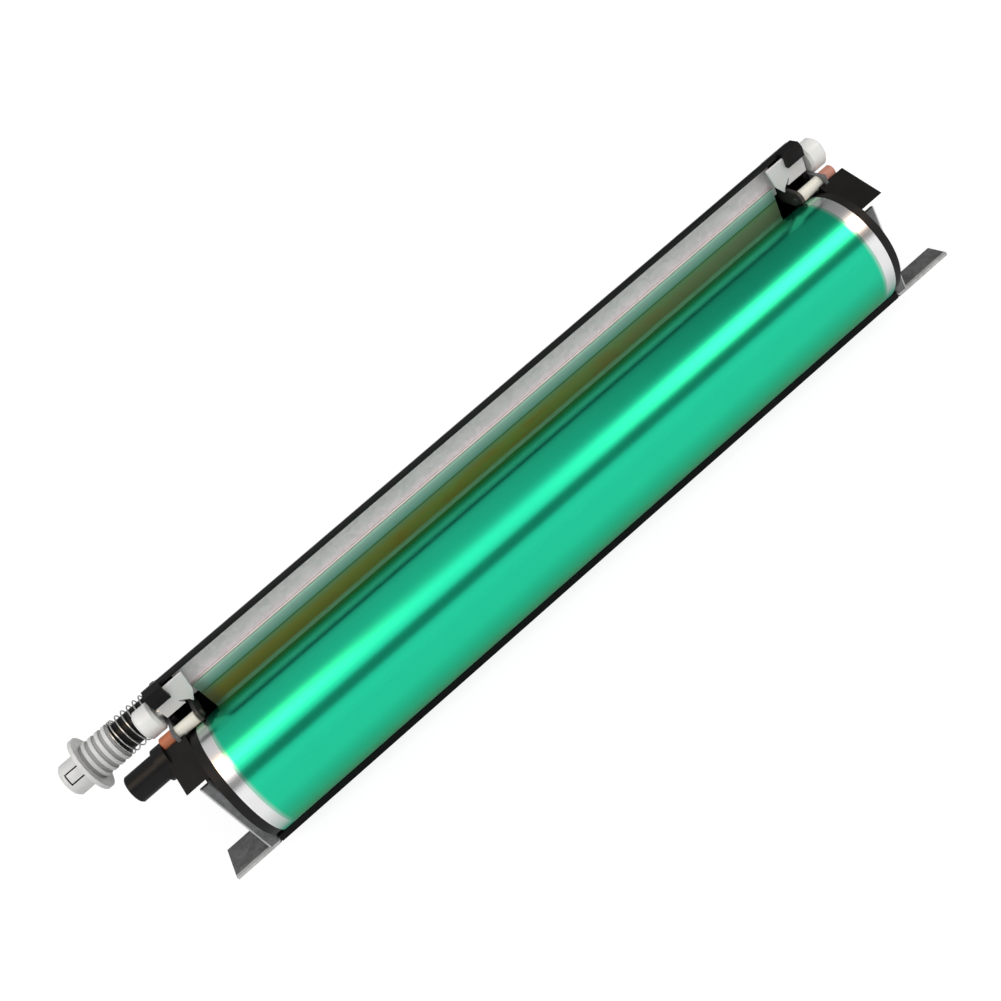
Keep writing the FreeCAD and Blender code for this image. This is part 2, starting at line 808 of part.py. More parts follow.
def make_housing():
    """Black housing: roof, toner trough, brush tub and two side walls in one moulding."""
    left = -housing_end(LEFT).value
    right = housing_end(RIGHT).value
    edges, mouth, front, ceiling, _ = shell_wire(0.0, 0.0)
    seat_low = Vector(*blade_point(d.seal_low.value, d.seal_offset.value), 0)
    seat_high = Vector(*blade_point(d.seal_high.value + 0.4, d.seal_offset.value), 0)
    start = Vector(front, ceiling, 0)
    lip_under = Vector(front, ceiling - d.lip_wall.value, 0)
    throat = Vector(d.pivot_y.value + 5.1, d.pivot_z.value + 4.0, 0)
    neck = Vector(throat.x, d.pivot_z.value - 6.0, 0)
    inside = Vector(d.drum_radius.value * 0.5, 0.0, 0)
    closing = [mouth, inside, neck, throat, seat_low, seat_high, lip_under, start]
    for first, second in zip(closing, closing[1:]):
        edges.append(Part.LineSegment(first, second))
    blank = end_view_solid(edges, left, right)
    clear = d.drum_radius.value + d.drum_clearance.value
    blank = blank.cut(x_cylinder(clear, left - 1, right + 1, Vector()))

    edges, mouth, front, ceiling, _ = shell_wire(d.housing_wall.value, 8.0)
    closing = [edges[-1].EndPoint, mouth, Vector(-4.0, mouth.y, 0), Vector(-4.0, ceiling, 0),
               Vector(front, ceiling, 0)]
    for first, second in zip(closing, closing[1:]):
        edges.append(Part.LineSegment(first, second))
    body = blank.cut(end_view_solid(edges, left + d.side_wall.value, right - d.side_wall.value))

    wall = d.cap_wall.value
    seal_face = d.seal_offset.value + d.seal_wall.value
    hook = [
        (d.lip_front.value, d.roof_height.value),
        (d.lip_front.value, d.roof_height.value - d.lip_wall.value),
        blade_point(d.seal_high.value + 0.2, seal_face + 0.2),
        blade_point(d.cap_low.value, seal_face + 0.2),
        blade_point(d.cap_low.value, seal_face + 0.2 + wall),
        blade_point(d.seal_high.value, seal_face + 0.2 + wall),
        (d.lip_front.value - 3.0, d.roof_height.value),
    ]
    for _, side in SIDES:
        low, high = sorted((side * d.cap_start.value, side * housing_end(side).value))
        body = body.fuse(prism(hook, low, high))

    rib_count = int(right // d.rib_pitch.value)
    for index in range(-rib_count, rib_count + 1):
        middle = index * d.rib_pitch.value
        body = body.fuse(housing_rib(middle))

    for _, side in SIDES:
        end = housing_end(side).value
        low, high = sorted((side * (end - d.side_wall.value - 1), side * (end + 1)))
        brush_hole = d.brush_shaft.value + d.bearing_bush_wall.value
        body = body.cut(x_cylinder(brush_hole, low, high, brush_axis))
        stud = Vector(d.stud_y.value, d.stud_z.value, 0)
        notch = d.stud_radius.value + 1.2
        body = body.cut(x_cylinder(notch, low, high, stud))
        slot = [(stud.x - 8.0, stud.y - notch), (stud.x, stud.y - notch),
                (stud.x, stud.y + notch), (stud.x - 8.0, stud.y + notch)]
        body = body.cut(prism(slot, low, high))
        screw_hole = d.screw_core.value + d.bearing_bush_wall.value if side > 0 else d.pipe_radius.value
        body = body.cut(x_cylinder(screw_hole, low, high, screw_axis))
        hole = d.screw_shank.value + d.screw_clearance.value
        for y, z in plate_screws()[2:]:
            body = body.cut(x_cylinder(hole, low, high, Vector(y.value, z.value, 0)))
    node("cleaner_housing", solid("cleaner_housing", body.removeSplitter()))


def x_cylinder(radius, start, end, centre):
    """Round bar along X, as a plain solid."""
    return Part.makeCylinder(radius, end - start, Vector(start, centre.x, centre.y), Vector(1, 0, 0))


def end_view_solid(edges, start, end):
    """Solid with an outline of lines and arcs in the end view."""
    face = Part.Face(Part.Wire([edge.toShape() for edge in edges]))
    body = face.extrude(Vector(0, 0, end - start))
    body.rotate(Vector(), Vector(1, 1, 1), 120)
    body.translate(Vector(start, 0, 0))
    return body


def housing_rib(middle):
    """Stiffening rib on the back of the housing, between the trough and the tub."""
    edges, _, _, _, _ = shell_wire(0.0, 0.0)
    run = edges[3]
    out = (run.StartPoint - run.EndPoint).normalize()
    normal = Vector(out.y, -out.x, 0)
    inner = -0.8
    points = [
        run.EndPoint + normal * inner,
        run.EndPoint + normal * d.rib_height.value,
        run.StartPoint + normal * d.rib_height.value,
        run.StartPoint + normal * inner,
    ]
    flat = [(point.x, point.y) for point in points]
    half = d.rib_wall.value / 2
    return prism(flat, middle - half, middle + half)


def make_catch_seal():
    """Thin film under the brush tub that catches loose toner against the drum."""
    floor_edge = shell_wire(0.0, 0.0)[0][5]
    lip = floor_edge.EndPoint
    run = (lip - floor_edge.StartPoint).normalize()
    under = Vector(-run.y, run.x, 0)
    film = 0.3
    limit = d.drum_radius.value + d.blade_gap.value
    reach = 0.0
    lap = d.catch_lap.value
    while (lip + run * (reach + 0.02)).Length > limit and reach < lap:
        reach += 0.02
    if (lip + under * film).Length < lip.Length:
        reach -= film
    points = [lip + run * reach, lip - run * lap, lip - run * lap + under * film, lip + run * reach + under * film]
    flat = [(point.x, point.y) for point in points]
    inset = d.side_wall.value + 1.0
    low = inset - housing_end(LEFT).value
    high = housing_end(RIGHT).value - inset
    node("catch_seal", solid("catch_seal", prism(flat, low, high)))


# Cleaning blade on its swinging bracket

def make_blade():
    """Urethane blade on a zinc coated holder, and the folded bracket that carries it."""
    half = d.blade_half.value
    holder_half = d.holder_half.value
    wall = d.rubber_wall.value
    holder_back = wall + d.holder_wall.value
    web_back = holder_back + d.web_wall.value
    rubber = [blade_point(0.0, 0.0), blade_point(d.rubber_width.value, 0.0),
              blade_point(d.rubber_width.value, -wall), blade_point(0.0, -wall)]
    node("blade_rubber", solid("blade_rubber", prism(rubber, -half, half)))
    holder = [blade_point(d.holder_start.value, -wall), blade_point(d.holder_end.value, -wall),
              blade_point(d.holder_end.value, -holder_back), blade_point(d.holder_start.value, -holder_back)]
    plate = prism(holder, -holder_half, holder_half)

    ear_outer = d.ear_inner.value + d.ear_wall.value
    web = prism([blade_point(d.web_start.value, -holder_back), blade_point(d.web_end.value, -holder_back),
                 blade_point(d.web_end.value, -web_back), blade_point(d.web_start.value, -web_back)],
                -ear_outer, ear_outer)
    fold = prism([blade_point(d.web_start.value, -holder_back),
                  blade_point(d.web_start.value, -holder_back - 7.0),
                  blade_point(d.web_start.value + d.web_wall.value, -holder_back - 7.0),
                  blade_point(d.web_start.value + d.web_wall.value, -holder_back)],
                 -half, half)
    bracket = web.fuse(fold)
    pivot = Vector(d.pivot_y.value, d.pivot_z.value, 0)
    stud = Vector(d.stud_y.value, d.stud_z.value, 0)
    for _, side in SIDES:
        low, high = sorted((side * d.ear_inner.value, side * ear_outer))
        bracket = bracket.fuse(ear_shape(pivot, stud, web_back, low, high))
        bracket = bracket.cut(x_cylinder(d.pivot_radius.value + d.running_gap.value, low - 1, high + 1, pivot))
        bracket = bracket.cut(x_cylinder(d.stud_radius.value, low - 1, high + 1, stud))
    holes = []
    heads = []
    shank = d.screw_shank.value
    count = 5
    for index in range(count):
        x = (index - (count - 1) / 2) * half * 0.45
        y, z = blade_point(d.web_start.value + d.blade_screw_place.value, -wall - 0.1)
        start = Vector(x, y, z)
        back = Vector(0, -forward.x, -forward.y)
        length = d.holder_wall.value + d.web_wall.value - 0.1
        heads.append(Part.makeCylinder(shank, length, start, back).fuse(
            Part.makeCylinder(d.screw_head.value, 1.6, start + back * length, back)))
        holes.append(Part.makeCylinder(shank, length + 2, start, back))
    for hole in holes:
        plate = plate.cut(hole)
        bracket = bracket.cut(hole)
    node("blade_holder", solid("blade_holder", plate))
    node("blade_bracket", solid("blade_bracket", bracket.removeSplitter()))
    node("blade_screws", solid("blade_screws", Part.Compound(heads)))


def ear_shape(pivot, stud, web_back, low, high):
    """Bracket ear in the end view: back from the pivot, then up to the stud and the web."""
    rim = d.pivot_radius.value + d.ear_rim.value
    stud_rim = d.stud_radius.value + d.stud_rim.value
    knee = Vector(stud.x + 0.6, pivot.y + 1.4, 0)
    arm = [(pivot.x, pivot.y + rim), (knee.x, knee.y + rim), (knee.x, knee.y - rim), (pivot.x, pivot.y - rim)]
    upright_arm = [(knee.x + rim, knee.y), (stud.x + stud_rim, stud.y),
                   (stud.x - stud_rim, stud.y), (knee.x - stud_rim, knee.y)]
    tie = [blade_point(d.web_start.value, -web_back), blade_point(d.web_end.value - 2.5, -web_back),
           (stud.x, stud.y + stud_rim - 0.6), (stud.x - 1.0, stud.y - stud_rim)]
    body = prism(arm, low, high)
    for extra in (prism(upright_arm, low, high), prism(tie, low, high),
                  x_cylinder(rim, low, high, pivot), x_cylinder(rim, low, high, knee),
                  x_cylinder(stud_rim, low, high, stud)):
        body = body.fuse(extra)
    clear = d.drum_radius.value + d.blade_gap.value + 0.4
    return body.cut(x_cylinder(clear, low - 1, high + 1, Vector()))


def make_pivots():
    """Pins, bushes and collars that carry the bracket, and the bushes that press it."""
    for label, side in SIDES:
        pin_start = d.ear_inner - 1.2
        pin_end = outer(side) + d.bush_length - 0.6
        node(f"pivot_pin_{label}", rod(f"pivot_pin_{label}", d.pivot_radius,
                                       *span(side, pin_start, pin_end), d.pivot_y, d.pivot_z))
        bore = d.pivot_radius
        neck = d.pivot_radius + 0.6
        profile = [
            (inner(side), bore),
            (outer(side) + d.bush_length, bore),
            (outer(side) + d.bush_length, d.bush_radius - 0.5),
            (outer(side) + d.bush_length - 0.5, d.bush_radius),
            (outer(side), d.bush_radius),
            (outer(side), neck),
            (inner(side), neck),
        ]
        node(f"pivot_bush_{label}", turned(f"pivot_bush_{label}", ended(side, profile), d.pivot_y, d.pivot_z))
        round_off = 0.5
        profile = [
            (d.collar_start, bore),
            (inner(side), bore),
            (inner(side), d.collar_radius),
            (d.collar_start + round_off, d.collar_radius),
            (d.collar_start, d.collar_radius - round_off),
        ]
        node(f"pivot_collar_{label}", turned(f"pivot_collar_{label}", ended(side, profile),
                                             d.pivot_y, d.pivot_z))
        bush_start = outer(side) + d.press_start
        bush_end = bush_start + d.press_length
        stud_start = d.ear_inner
        node(f"press_stud_{label}", rod(f"press_stud_{label}", d.stud_radius,
                                        *span(side, stud_start, bush_end - 1.0), d.stud_y, d.stud_z))
        edge = d.press_round
        profile = [
            (bush_start, d.stud_radius),
            (bush_end - 1.0, d.stud_radius),
            (bush_end - 1.0, 0.0),
            (bush_end, 0.0),
            (bush_end, d.press_radius - edge),
            (bush_end - edge, d.press_radius),
            (bush_start + edge, d.press_radius),
            (bush_start, d.press_radius - edge),
        ]
        node(f"press_bush_{label}", turned(f"press_bush_{label}", ended(side, profile), d.stud_y, d.stud_z))


def make_end_seals():
    """White plates beside the blade, each with a pointed toe that a slit sets apart."""
    back = d.seal_offset.value
    normal = Vector(0, forward.x, forward.y) * d.seal_wall.value
    low = d.seal_low.value
    high = d.seal_high.value
    start = d.seal_start.value
    toe = d.ear_inner.value - d.toe_gap.value
    slit = d.toe_slit.value
    rise = d.toe_slit_rise.value
    for label, side in SIDES:
        end = housing_end(side).value - 0.1
        name = f"seal_plate_{label}"
        outline = [
            (start, high),
            (end, high),
            (end, low),
            (toe + 1.6 + slit, low),
            (toe + 1.6 + rise * 0.5 + slit, low + rise),
            (toe + 1.6 + rise * 0.5, low + rise),
            (toe, low),
            (toe - 0.4, low - d.toe_drop.value),
            (toe - 0.9, low - d.toe_drop.value),
            (start + 2.2, d.seal_waist.value),
        ]
        corners = [Vector(side * x, *blade_point(up, back)) for x, up in outline]
        face = Part.Face(Part.makePolygon(corners + corners[:1]))
        node(name, solid(name, face.extrude(normal)))


# Brush roller and toner screw

def make_brush():
    """Brush roller on its steel shaft."""
    start = -(outer(LEFT) + 2.6 + d.coupling_length - d.coupling_dog_height - 0.6)
    node("brush_shaft", rod("brush_shaft", d.brush_shaft, start, gear_end + 1.0,
                            d.brush_axis_y, d.brush_axis_z))
    profile = [
        (-d.brush_half, d.brush_shaft),
        (d.brush_half, d.brush_shaft),
        (d.brush_half, d.brush_radius),
        (-d.brush_half, d.brush_radius),
    ]
    node("brush_roller", turned("brush_roller", profile, d.brush_axis_y, d.brush_axis_z))
    for label, side in SIDES:
        node(f"brush_bearing_{label}", shaft_bearing(f"brush_bearing_{label}", side, d.brush_shaft,
                                                     d.brush_axis_y, d.brush_axis_z))


def shaft_bearing(name, side, shaft, y, z):
    """Rimmed bush for a shaft, in the housing wall and the end plate."""
    bore = shaft + d.running_gap
    outside = shaft + d.bearing_bush_wall
    inner_end = housing_end(side) - d.side_wall - 0.4
    profile = [
        (inner_end, bore),
        (outer(side) + 1.0, bore),
        (outer(side) + 1.0, outside + 1.3),
        (outer(side), outside + 1.3),
        (outer(side), outside),
        (inner_end, outside),
    ]
    return turned(name, ended(side, profile), y, z)


def make_toner_screw():
    """Screw that carries waste toner to the outlet: a left-hand flight on a core."""
    start = -(d.pipe_end.value - 1.4)
    end = gear_end.value + 0.8
    flight_start = start + 6.0
    flight_end = housing_end(RIGHT).value - d.side_wall.value - 6.0
    steps = 8
    count = int((flight_end - flight_start) / d.screw_pitch.value * steps)
    half = d.screw_flight.value / 2
    root = d.screw_core.value * 0.85
    sections = []
    for index in range(count + 1):
        x = flight_start + (flight_end - flight_start) * index / count
        foot = screw_axis + polar(root, -index * 360.0 / steps)
        crest = screw_axis + polar(d.screw_radius.value, -index * 360.0 / steps)
        corners = [Vector(x - half, foot.x, foot.y), Vector(x - half, crest.x, crest.y),
                   Vector(x + half, crest.x, crest.y), Vector(x + half, foot.x, foot.y)]
        sections.append(Part.makePolygon(corners + corners[:1]))
    flight = Part.makeLoft(sections, True, True)
    flat_core = [screw_axis + polar(d.screw_core.value, index * 360.0 / steps) for index in range(steps)]
    flats = prism([(point.x, point.y) for point in flat_core], flight_start - 1.0, flight_end + 1.0)
    tail = x_cylinder(d.screw_core.value, start, flight_start - 1.0, screw_axis)
    journal = x_cylinder(d.screw_core.value, flight_end + 1.0, end, screw_axis)
    screw = flats.fuse(flight).Solids[0].fuse([tail, journal])
    node("toner_screw", solid("toner_screw", screw.Solids[0]))
    node("screw_bearing", shaft_bearing("screw_bearing", 1, d.screw_core, d.screw_axis_y, d.screw_axis_z))


# Toner outlet

def make_outlet():
    """Outlet pipe, its snapped-on cap, the shutter sleeve and the shutter's spring."""
    bore = d.pipe_radius - d.pipe_wall
    profile = [
        (-d.pipe_end, bore),
        (-(inner(LEFT) - d.pipe_insert), bore),
        (-(inner(LEFT) - d.pipe_insert), d.pipe_radius),
        (-outer(LEFT), d.pipe_radius),
        (-outer(LEFT), d.pipe_seat_radius),
        (-(outer(LEFT) + d.pipe_seat), d.pipe_seat_radius),
        (-(outer(LEFT) + d.pipe_seat), d.pipe_radius),
        (-d.pipe_end, d.pipe_radius),
    ]
    blank = turned("outlet_pipe_blank", profile, d.screw_axis_y, d.screw_axis_z)
    port = block("outlet_port", (-(d.outlet_start + d.outlet_length), -d.outlet_start),
                 (d.screw_axis_y - d.outlet_width / 2, d.screw_axis_y + d.outlet_width / 2),
                 (d.screw_axis_z - d.pipe_radius - 1.0, d.screw_axis_z - 3.0))
    node("outlet_pipe", cut("outlet_pipe", blank, [port]))

    inside = d.pipe_radius
    rounding = 1.2
    profile = [
        (-d.cap_mouth, inside),
        (-d.cap_mouth, d.cap_radius),
        (-(d.cap_end - rounding), d.cap_radius),
        (-d.cap_end, d.cap_radius - rounding),
        (-d.cap_end, 0.0),
        (-(d.pipe_end + 0.8), 0.0),
        (-(d.pipe_end + 0.8), d.screw_core + d.running_gap),
        (-(d.pipe_end + 0.05), d.screw_core + d.running_gap),
        (-(d.pipe_end + 0.05), inside),
    ]
    cup = turned("outlet_cap_blank", profile, d.screw_axis_y, d.screw_axis_z)
    node("outlet_cap", solid("outlet_cap", cap_with_tongue(cup)))

    bore = d.pipe_radius + d.sleeve_gap
    mouth = d.cap_mouth - 0.2
    face = mouth - d.flange_wall
    base = d.sleeve_radius
    top = d.sleeve_radius + d.sleeve_rib
    profile = [(-mouth, bore), (-mouth, d.flange_radius), (-face, d.flange_radius), (-face, base)]
    groove = d.sleeve_rib_pitch - d.sleeve_rib_width
    rib_count = int((face.value - d.sleeve_end.value) // d.sleeve_rib_pitch.value)
    for index in range(rib_count):
        left = face - groove - d.sleeve_rib_pitch * float(index)
        right = left - d.sleeve_rib_width
        profile += [(-left, base), (-left + 0.5, top), (-right - 0.5, top), (-right, base)]
    profile += [(-d.sleeve_end, base), (-d.sleeve_end, bore)]
    node("shutter_sleeve", turned("shutter_sleeve", profile, d.screw_axis_y, d.screw_axis_z))

    first = outer(LEFT).value + d.pipe_seat.value + d.spring_wire.value
    last = d.sleeve_end.value - d.spring_wire.value
    pitch = (last - first) / d.spring_turns.value
    spring = coil(d.spring_radius.value, d.spring_wire.value, pitch, last - first)
    spring.translate(Vector(-last, screw_axis.x, screw_axis.y))
    node("shutter_spring", solid("shutter_spring", spring))


def coil(radius, wire, pitch, length):
    """Wire wound about X, in short straight runs."""
    steps = 16
    count = int(round(length / pitch * steps))
    points = []
    for index in range(count + 1):
        place_of = polar(radius, index * 360.0 / steps)
        points.append(Vector(place_of.x, place_of.y, length * index / count))
    corners = []
    for index in range(6):
        place_of = polar(wire, index * 60.0)
        corners.append(Vector(radius + place_of.x, 0, place_of.y))
    section = Part.makePolygon(corners + corners[:1])
    spring = Part.makePolygon(points).makePipeShell([section], True, False, 1)
    spring.rotate(Vector(), Vector(1, 1, 1), 120)
    return spring


def cap_with_tongue(cup):
    """The cap with a U-shaped slot that frees its snap tongue."""
    doc.recompute()
    shape = cup.Shape.copy()
    shape.Placement = cup.Placement
    half = d.tongue_width.value / 2
    slot = d.tongue_slot.value
    depth = 3.0
    radius = d.cap_radius.value - 1.0
    low = -(d.cap_end.value - d.tongue_margin.value)
    high = low + d.tongue_length.value
    cuts = [
        Part.makeBox(high - low, slot, depth, Vector(low, -half - slot / 2, radius - 1.2)),
        Part.makeBox(high - low, slot, depth, Vector(low, half - slot / 2, radius - 1.2)),
        Part.makeBox(slot, 2 * half + slot, depth, Vector(low, -half - slot / 2, radius - 1.2)),
    ]
    for tool in cuts:
        tool.rotate(Vector(), Vector(1, 0, 0), d.tongue_turn.value - 90.0)
        tool.translate(Vector(0, screw_axis.x, screw_axis.y))
        shape = shape.cut(tool)
    return shape


# End covers

def make_end_covers():
    """Black covers over the upper front of the end plates; the left one has the locating boss."""
    top = Vector(d.cover_top_y.value, d.cover_top_z.value, 0)
    foot = Vector(d.cover_foot_y.value, d.cover_foot_z.value, 0)
    run = (foot - top).normalize()
    inward = Vector(-run.y, run.x, 0)
    if inward.y > 0:
        inward = inward * -1.0
    wall = d.cover_wall.value
    depth = d.cover_depth.value
    heel = foot + inward * depth - run * 3.2
    shell = [top, foot, heel, top + inward * depth]
    hollow = [top - run * 5.0 + inward * wall, foot - run * (wall + 1.0) + inward * wall,
              foot - run * (wall + 4.4) + inward * (depth + 2), top - run * 5.0 + inward * (depth + 2)]
    for label, side in SIDES:
        near = d.cover_inner.value
        far = d.right_cover.value if side > 0 else d.left_cover.value
        low, high = sorted((side * near, side * far))
        body = prism([(point.x, point.y) for point in shell], low, high)
        low, high = sorted((side * (near + wall), side * (far - wall)))
        body = body.cut(prism([(point.x, point.y) for point in hollow], low, high))
        tab_low = cover_screw_height().value - d.cover_tab_drop.value
        tab_half = d.cover_tab_half.value
        slope = (top.y - foot.y) / (top.x - foot.x)
        tab_high = foot.y - slope * foot.x - d.cover_tab_clear.value
        tab = [(-tab_half, tab_low), (tab_half, tab_low),
               (tab_half, tab_high + slope * tab_half), (-tab_half, tab_high - slope * tab_half)]
        low, high = sorted((side * outer(side).value, side * (outer(side).value + d.cover_tab_wall.value)))
        web = prism(tab, low, high)
        limit = prism([(top.x, top.y), (foot.x, foot.y), (foot.x, -5.0), (top.x, -5.0)], low, high)
        body = body.fuse(web.common(limit))
        hole = x_cylinder(d.screw_shank.value, low - 2, high + 2, Vector(0, cover_screw_height().value, 0))
        body = body.cut(hole)
        slot_low, slot_high = sorted((side * (inner(side).value - 0.1), side * outer(side).value))
        if side < 0:
            body = body.fuse(locating_boss())
        slot = prism([(number(y), number(z)) for y, z in plate_outline()], slot_low, slot_high)
        body = body.cut(slot)
        node(f"end_cover_{label}", solid(f"end_cover_{label}", body.removeSplitter()))


def locating_boss():
    """Round boss that finds its hole in the printer's rear wall."""
    centre = Vector(d.boss_y.value, d.boss_z.value, 0)
    wall = d.left_cover.value - d.cover_wall.value
    collar = d.left_cover.value + d.boss_collar.value
    end = collar + d.boss_length.value
    body = x_cylinder(d.boss_collar_radius.value, -collar, -wall, centre)
    pin = x_cylinder(d.boss_radius.value, -end, -wall, centre)
    edges = [edge for edge in pin.Edges if abs(edge.CenterOfMass.x + end) < 0.01]
    return body.fuse(pin.makeChamfer(0.6, edges))


# Fasteners

def screw_solid(side, head_face, tip_face, y, z):
    """Pan head screw along X, with its head on the far side from its tip."""
    shank = d.screw_shank.value
    head = d.screw_head.value
    height = d.screw_head_height.value
    low, high = sorted((side * head_face, side * tip_face))
    body = x_cylinder(shank, low, high, Vector(y, z, 0))
    outward = 1.0 if head_face > tip_face else -1.0
    low, high = sorted((side * head_face, side * (head_face + outward * height)))
    top = x_cylinder(head, low, high, Vector(y, z, 0))
    far = side * (head_face + outward * height)
    edges = [edge for edge in top.Edges if abs(edge.CenterOfMass.x - far) < 0.01]
    return body.fuse(top.makeChamfer(0.5, edges))


def make_fasteners():
    """Screws of the frame and of the end covers."""
    frame = []
    covers = []
    for _, side in SIDES:
        for y, z in plate_screws():
            frame.append(screw_solid(side, outer(side).value, outer(side).value - d.screw_grip.value,
                                     y.value, z.value))
        covers.append(screw_solid(side, inner(side).value, outer(side).value + 1.5, 0.0,
                                  cover_screw_height().value))
    node("frame_screws", solid("frame_screws", Part.Compound(frame)))
    node("cover_screws", solid("cover_screws", Part.Compound(covers)))


make_drum()
make_drum_bearings()
make_gears()
make_end_plates()
make_cross_members()
make_housing()
make_catch_seal()
make_blade()
make_pivots()
make_end_seals()
make_brush()
make_toner_screw()
make_outlet()
make_end_covers()
make_fasteners()
doc.recompute()

for item in doc.Objects:
    if "Invalid" in item.State or "Error" in item.State:
        raise RuntimeError(f"{item.Label} did not build")

os.makedirs("parts", exist_ok=True)
for piece in NODES:
    shape = piece.Shape
    if shape.isNull() or not shape.isValid():
        raise RuntimeError(f"{piece.Label} is not a sound solid")

for piece in NODES:
    piece.Shape.exportStep(f"parts/{piece.Label}.step")
    print(piece.Label, len(piece.Shape.Solids), round(piece.Shape.Volume, 1))
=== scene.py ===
"""Looks of a printer drum unit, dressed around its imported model, in metres in its own frame.

The drum turns about the X axis, its bare side faces -Y and the cleaner lies behind it. The outlet
for waste toner is at the -X end.
"""

from __future__ import annotations

import logging
import math
from dataclasses import dataclass
from enum import Enum
from typing import Iterable, Mapping, Sequence, Union

import bmesh
import bpy
from mathutils import Matrix, Vector

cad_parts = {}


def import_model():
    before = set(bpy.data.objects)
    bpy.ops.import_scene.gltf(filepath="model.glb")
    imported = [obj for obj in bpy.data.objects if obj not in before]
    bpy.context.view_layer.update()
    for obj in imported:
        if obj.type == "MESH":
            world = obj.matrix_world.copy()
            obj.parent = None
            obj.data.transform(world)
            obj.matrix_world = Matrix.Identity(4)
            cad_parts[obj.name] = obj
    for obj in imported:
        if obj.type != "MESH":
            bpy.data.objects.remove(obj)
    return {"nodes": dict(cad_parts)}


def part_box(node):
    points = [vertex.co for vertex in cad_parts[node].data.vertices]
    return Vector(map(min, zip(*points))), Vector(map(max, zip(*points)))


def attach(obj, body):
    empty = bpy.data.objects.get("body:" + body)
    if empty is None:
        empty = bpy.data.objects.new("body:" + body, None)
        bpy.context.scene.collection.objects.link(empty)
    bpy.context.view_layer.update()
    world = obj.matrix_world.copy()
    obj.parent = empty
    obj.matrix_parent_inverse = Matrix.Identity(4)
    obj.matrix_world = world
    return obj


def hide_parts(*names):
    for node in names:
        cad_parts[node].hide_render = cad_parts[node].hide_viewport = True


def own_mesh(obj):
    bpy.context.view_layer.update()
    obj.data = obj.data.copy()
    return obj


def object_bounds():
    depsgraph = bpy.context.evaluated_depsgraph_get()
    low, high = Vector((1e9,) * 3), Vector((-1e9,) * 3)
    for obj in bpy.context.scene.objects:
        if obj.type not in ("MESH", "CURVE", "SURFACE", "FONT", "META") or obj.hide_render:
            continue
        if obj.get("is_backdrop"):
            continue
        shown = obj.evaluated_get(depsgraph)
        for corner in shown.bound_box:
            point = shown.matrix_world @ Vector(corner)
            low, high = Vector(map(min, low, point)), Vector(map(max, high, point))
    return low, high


LOG = logging.getLogger("drum_unit")
MM = 0.001
Pair = tuple[float, float]
Triple = tuple[float, float, float]
Colour = Triple
Number = Union[float, "Value"]
Shade = Union[Colour, "Value"]
NO_LIGHT: Colour = (0.0, 0.0, 0.0)
FULL_LIGHT: Colour = (1.0, 1.0, 1.0)


def scaled(colour: Colour, share: float) -> Colour:
    """A colour made lighter or darker by a factor."""
    return tuple(min(1.0, channel * share) for channel in colour)


class Value:
    """A number that a material's nodes work out, used with Python's own operators."""

    def __init__(self, graph: "Graph", socket: bpy.types.NodeSocket) -> None:
        """Wraps one output socket.

        Args:
            graph: the node tree that the socket belongs to.
            socket: the output socket.
        """
        self.graph = graph
        self.socket = socket

    def maths(self, operation: str, *others: Number) -> "Value":
        """Adds a Math node that starts with this value.

        Args:
            operation: the Math node's operation.
            others: its second and third values.

        Returns:
            The node's result.
        """
        inputs = dict(enumerate((self, *others)))
        return self.graph.node("ShaderNodeMath", {"operation": operation}, inputs)

    def __add__(self, other: Number) -> "Value":
        """This value plus another."""
        return self.maths("ADD", other)

    __radd__ = __add__

    def __sub__(self, other: Number) -> "Value":
        """This value minus another."""
        return self.maths("SUBTRACT", other)

    def __rsub__(self, other: float) -> "Value":
        """A plain number minus this value."""
        return self.graph.node("ShaderNodeMath", {"operation": "SUBTRACT"}, {0: other, 1: self})

    def __mul__(self, other: Number) -> "Value":
        """This value times another."""
        return self.maths("MULTIPLY", other)

    __rmul__ = __mul__

    def __truediv__(self, other: Number) -> "Value":
        """This value divided by another."""
        return self.maths("DIVIDE", other)

    def __pow__(self, other: Number) -> "Value":
        """This value to a power."""
        return self.maths("POWER", other)

    def __abs__(self) -> "Value":
        """The value without its sign."""
        return self.maths("ABSOLUTE")

    def above(self, edge: Number) -> "Value":
        """One where the value is over an edge, and nought elsewhere."""
        return self.maths("GREATER_THAN", edge)

    def step(self, start: float, end: float) -> "Value":
        """Smooth rise from nought at one value to one at another.

        Args:
            start: the value at which the rise starts.
            end: the value at which it ends. A lower end makes a fall of it.

        Returns:
            The rise, between nought and one.
        """
        if start > end:
            return 1.0 - self.step(end, start)
        settings = {"interpolation_type": "SMOOTHSTEP"}
        inputs = {"Value": self, "From Min": start, "From Max": end}
        return self.graph.node("ShaderNodeMapRange", settings, inputs)

    def window(self, rise: Pair, fall: Pair) -> "Value":
        """One between a smooth rise and a smooth fall, and nought outside them.

        Args:
            rise: where the rise starts and ends.
            fall: where the fall starts and ends.

        Returns:
            The window, between nought and one.
        """
        return self.step(*rise) * (1.0 - self.step(*fall))


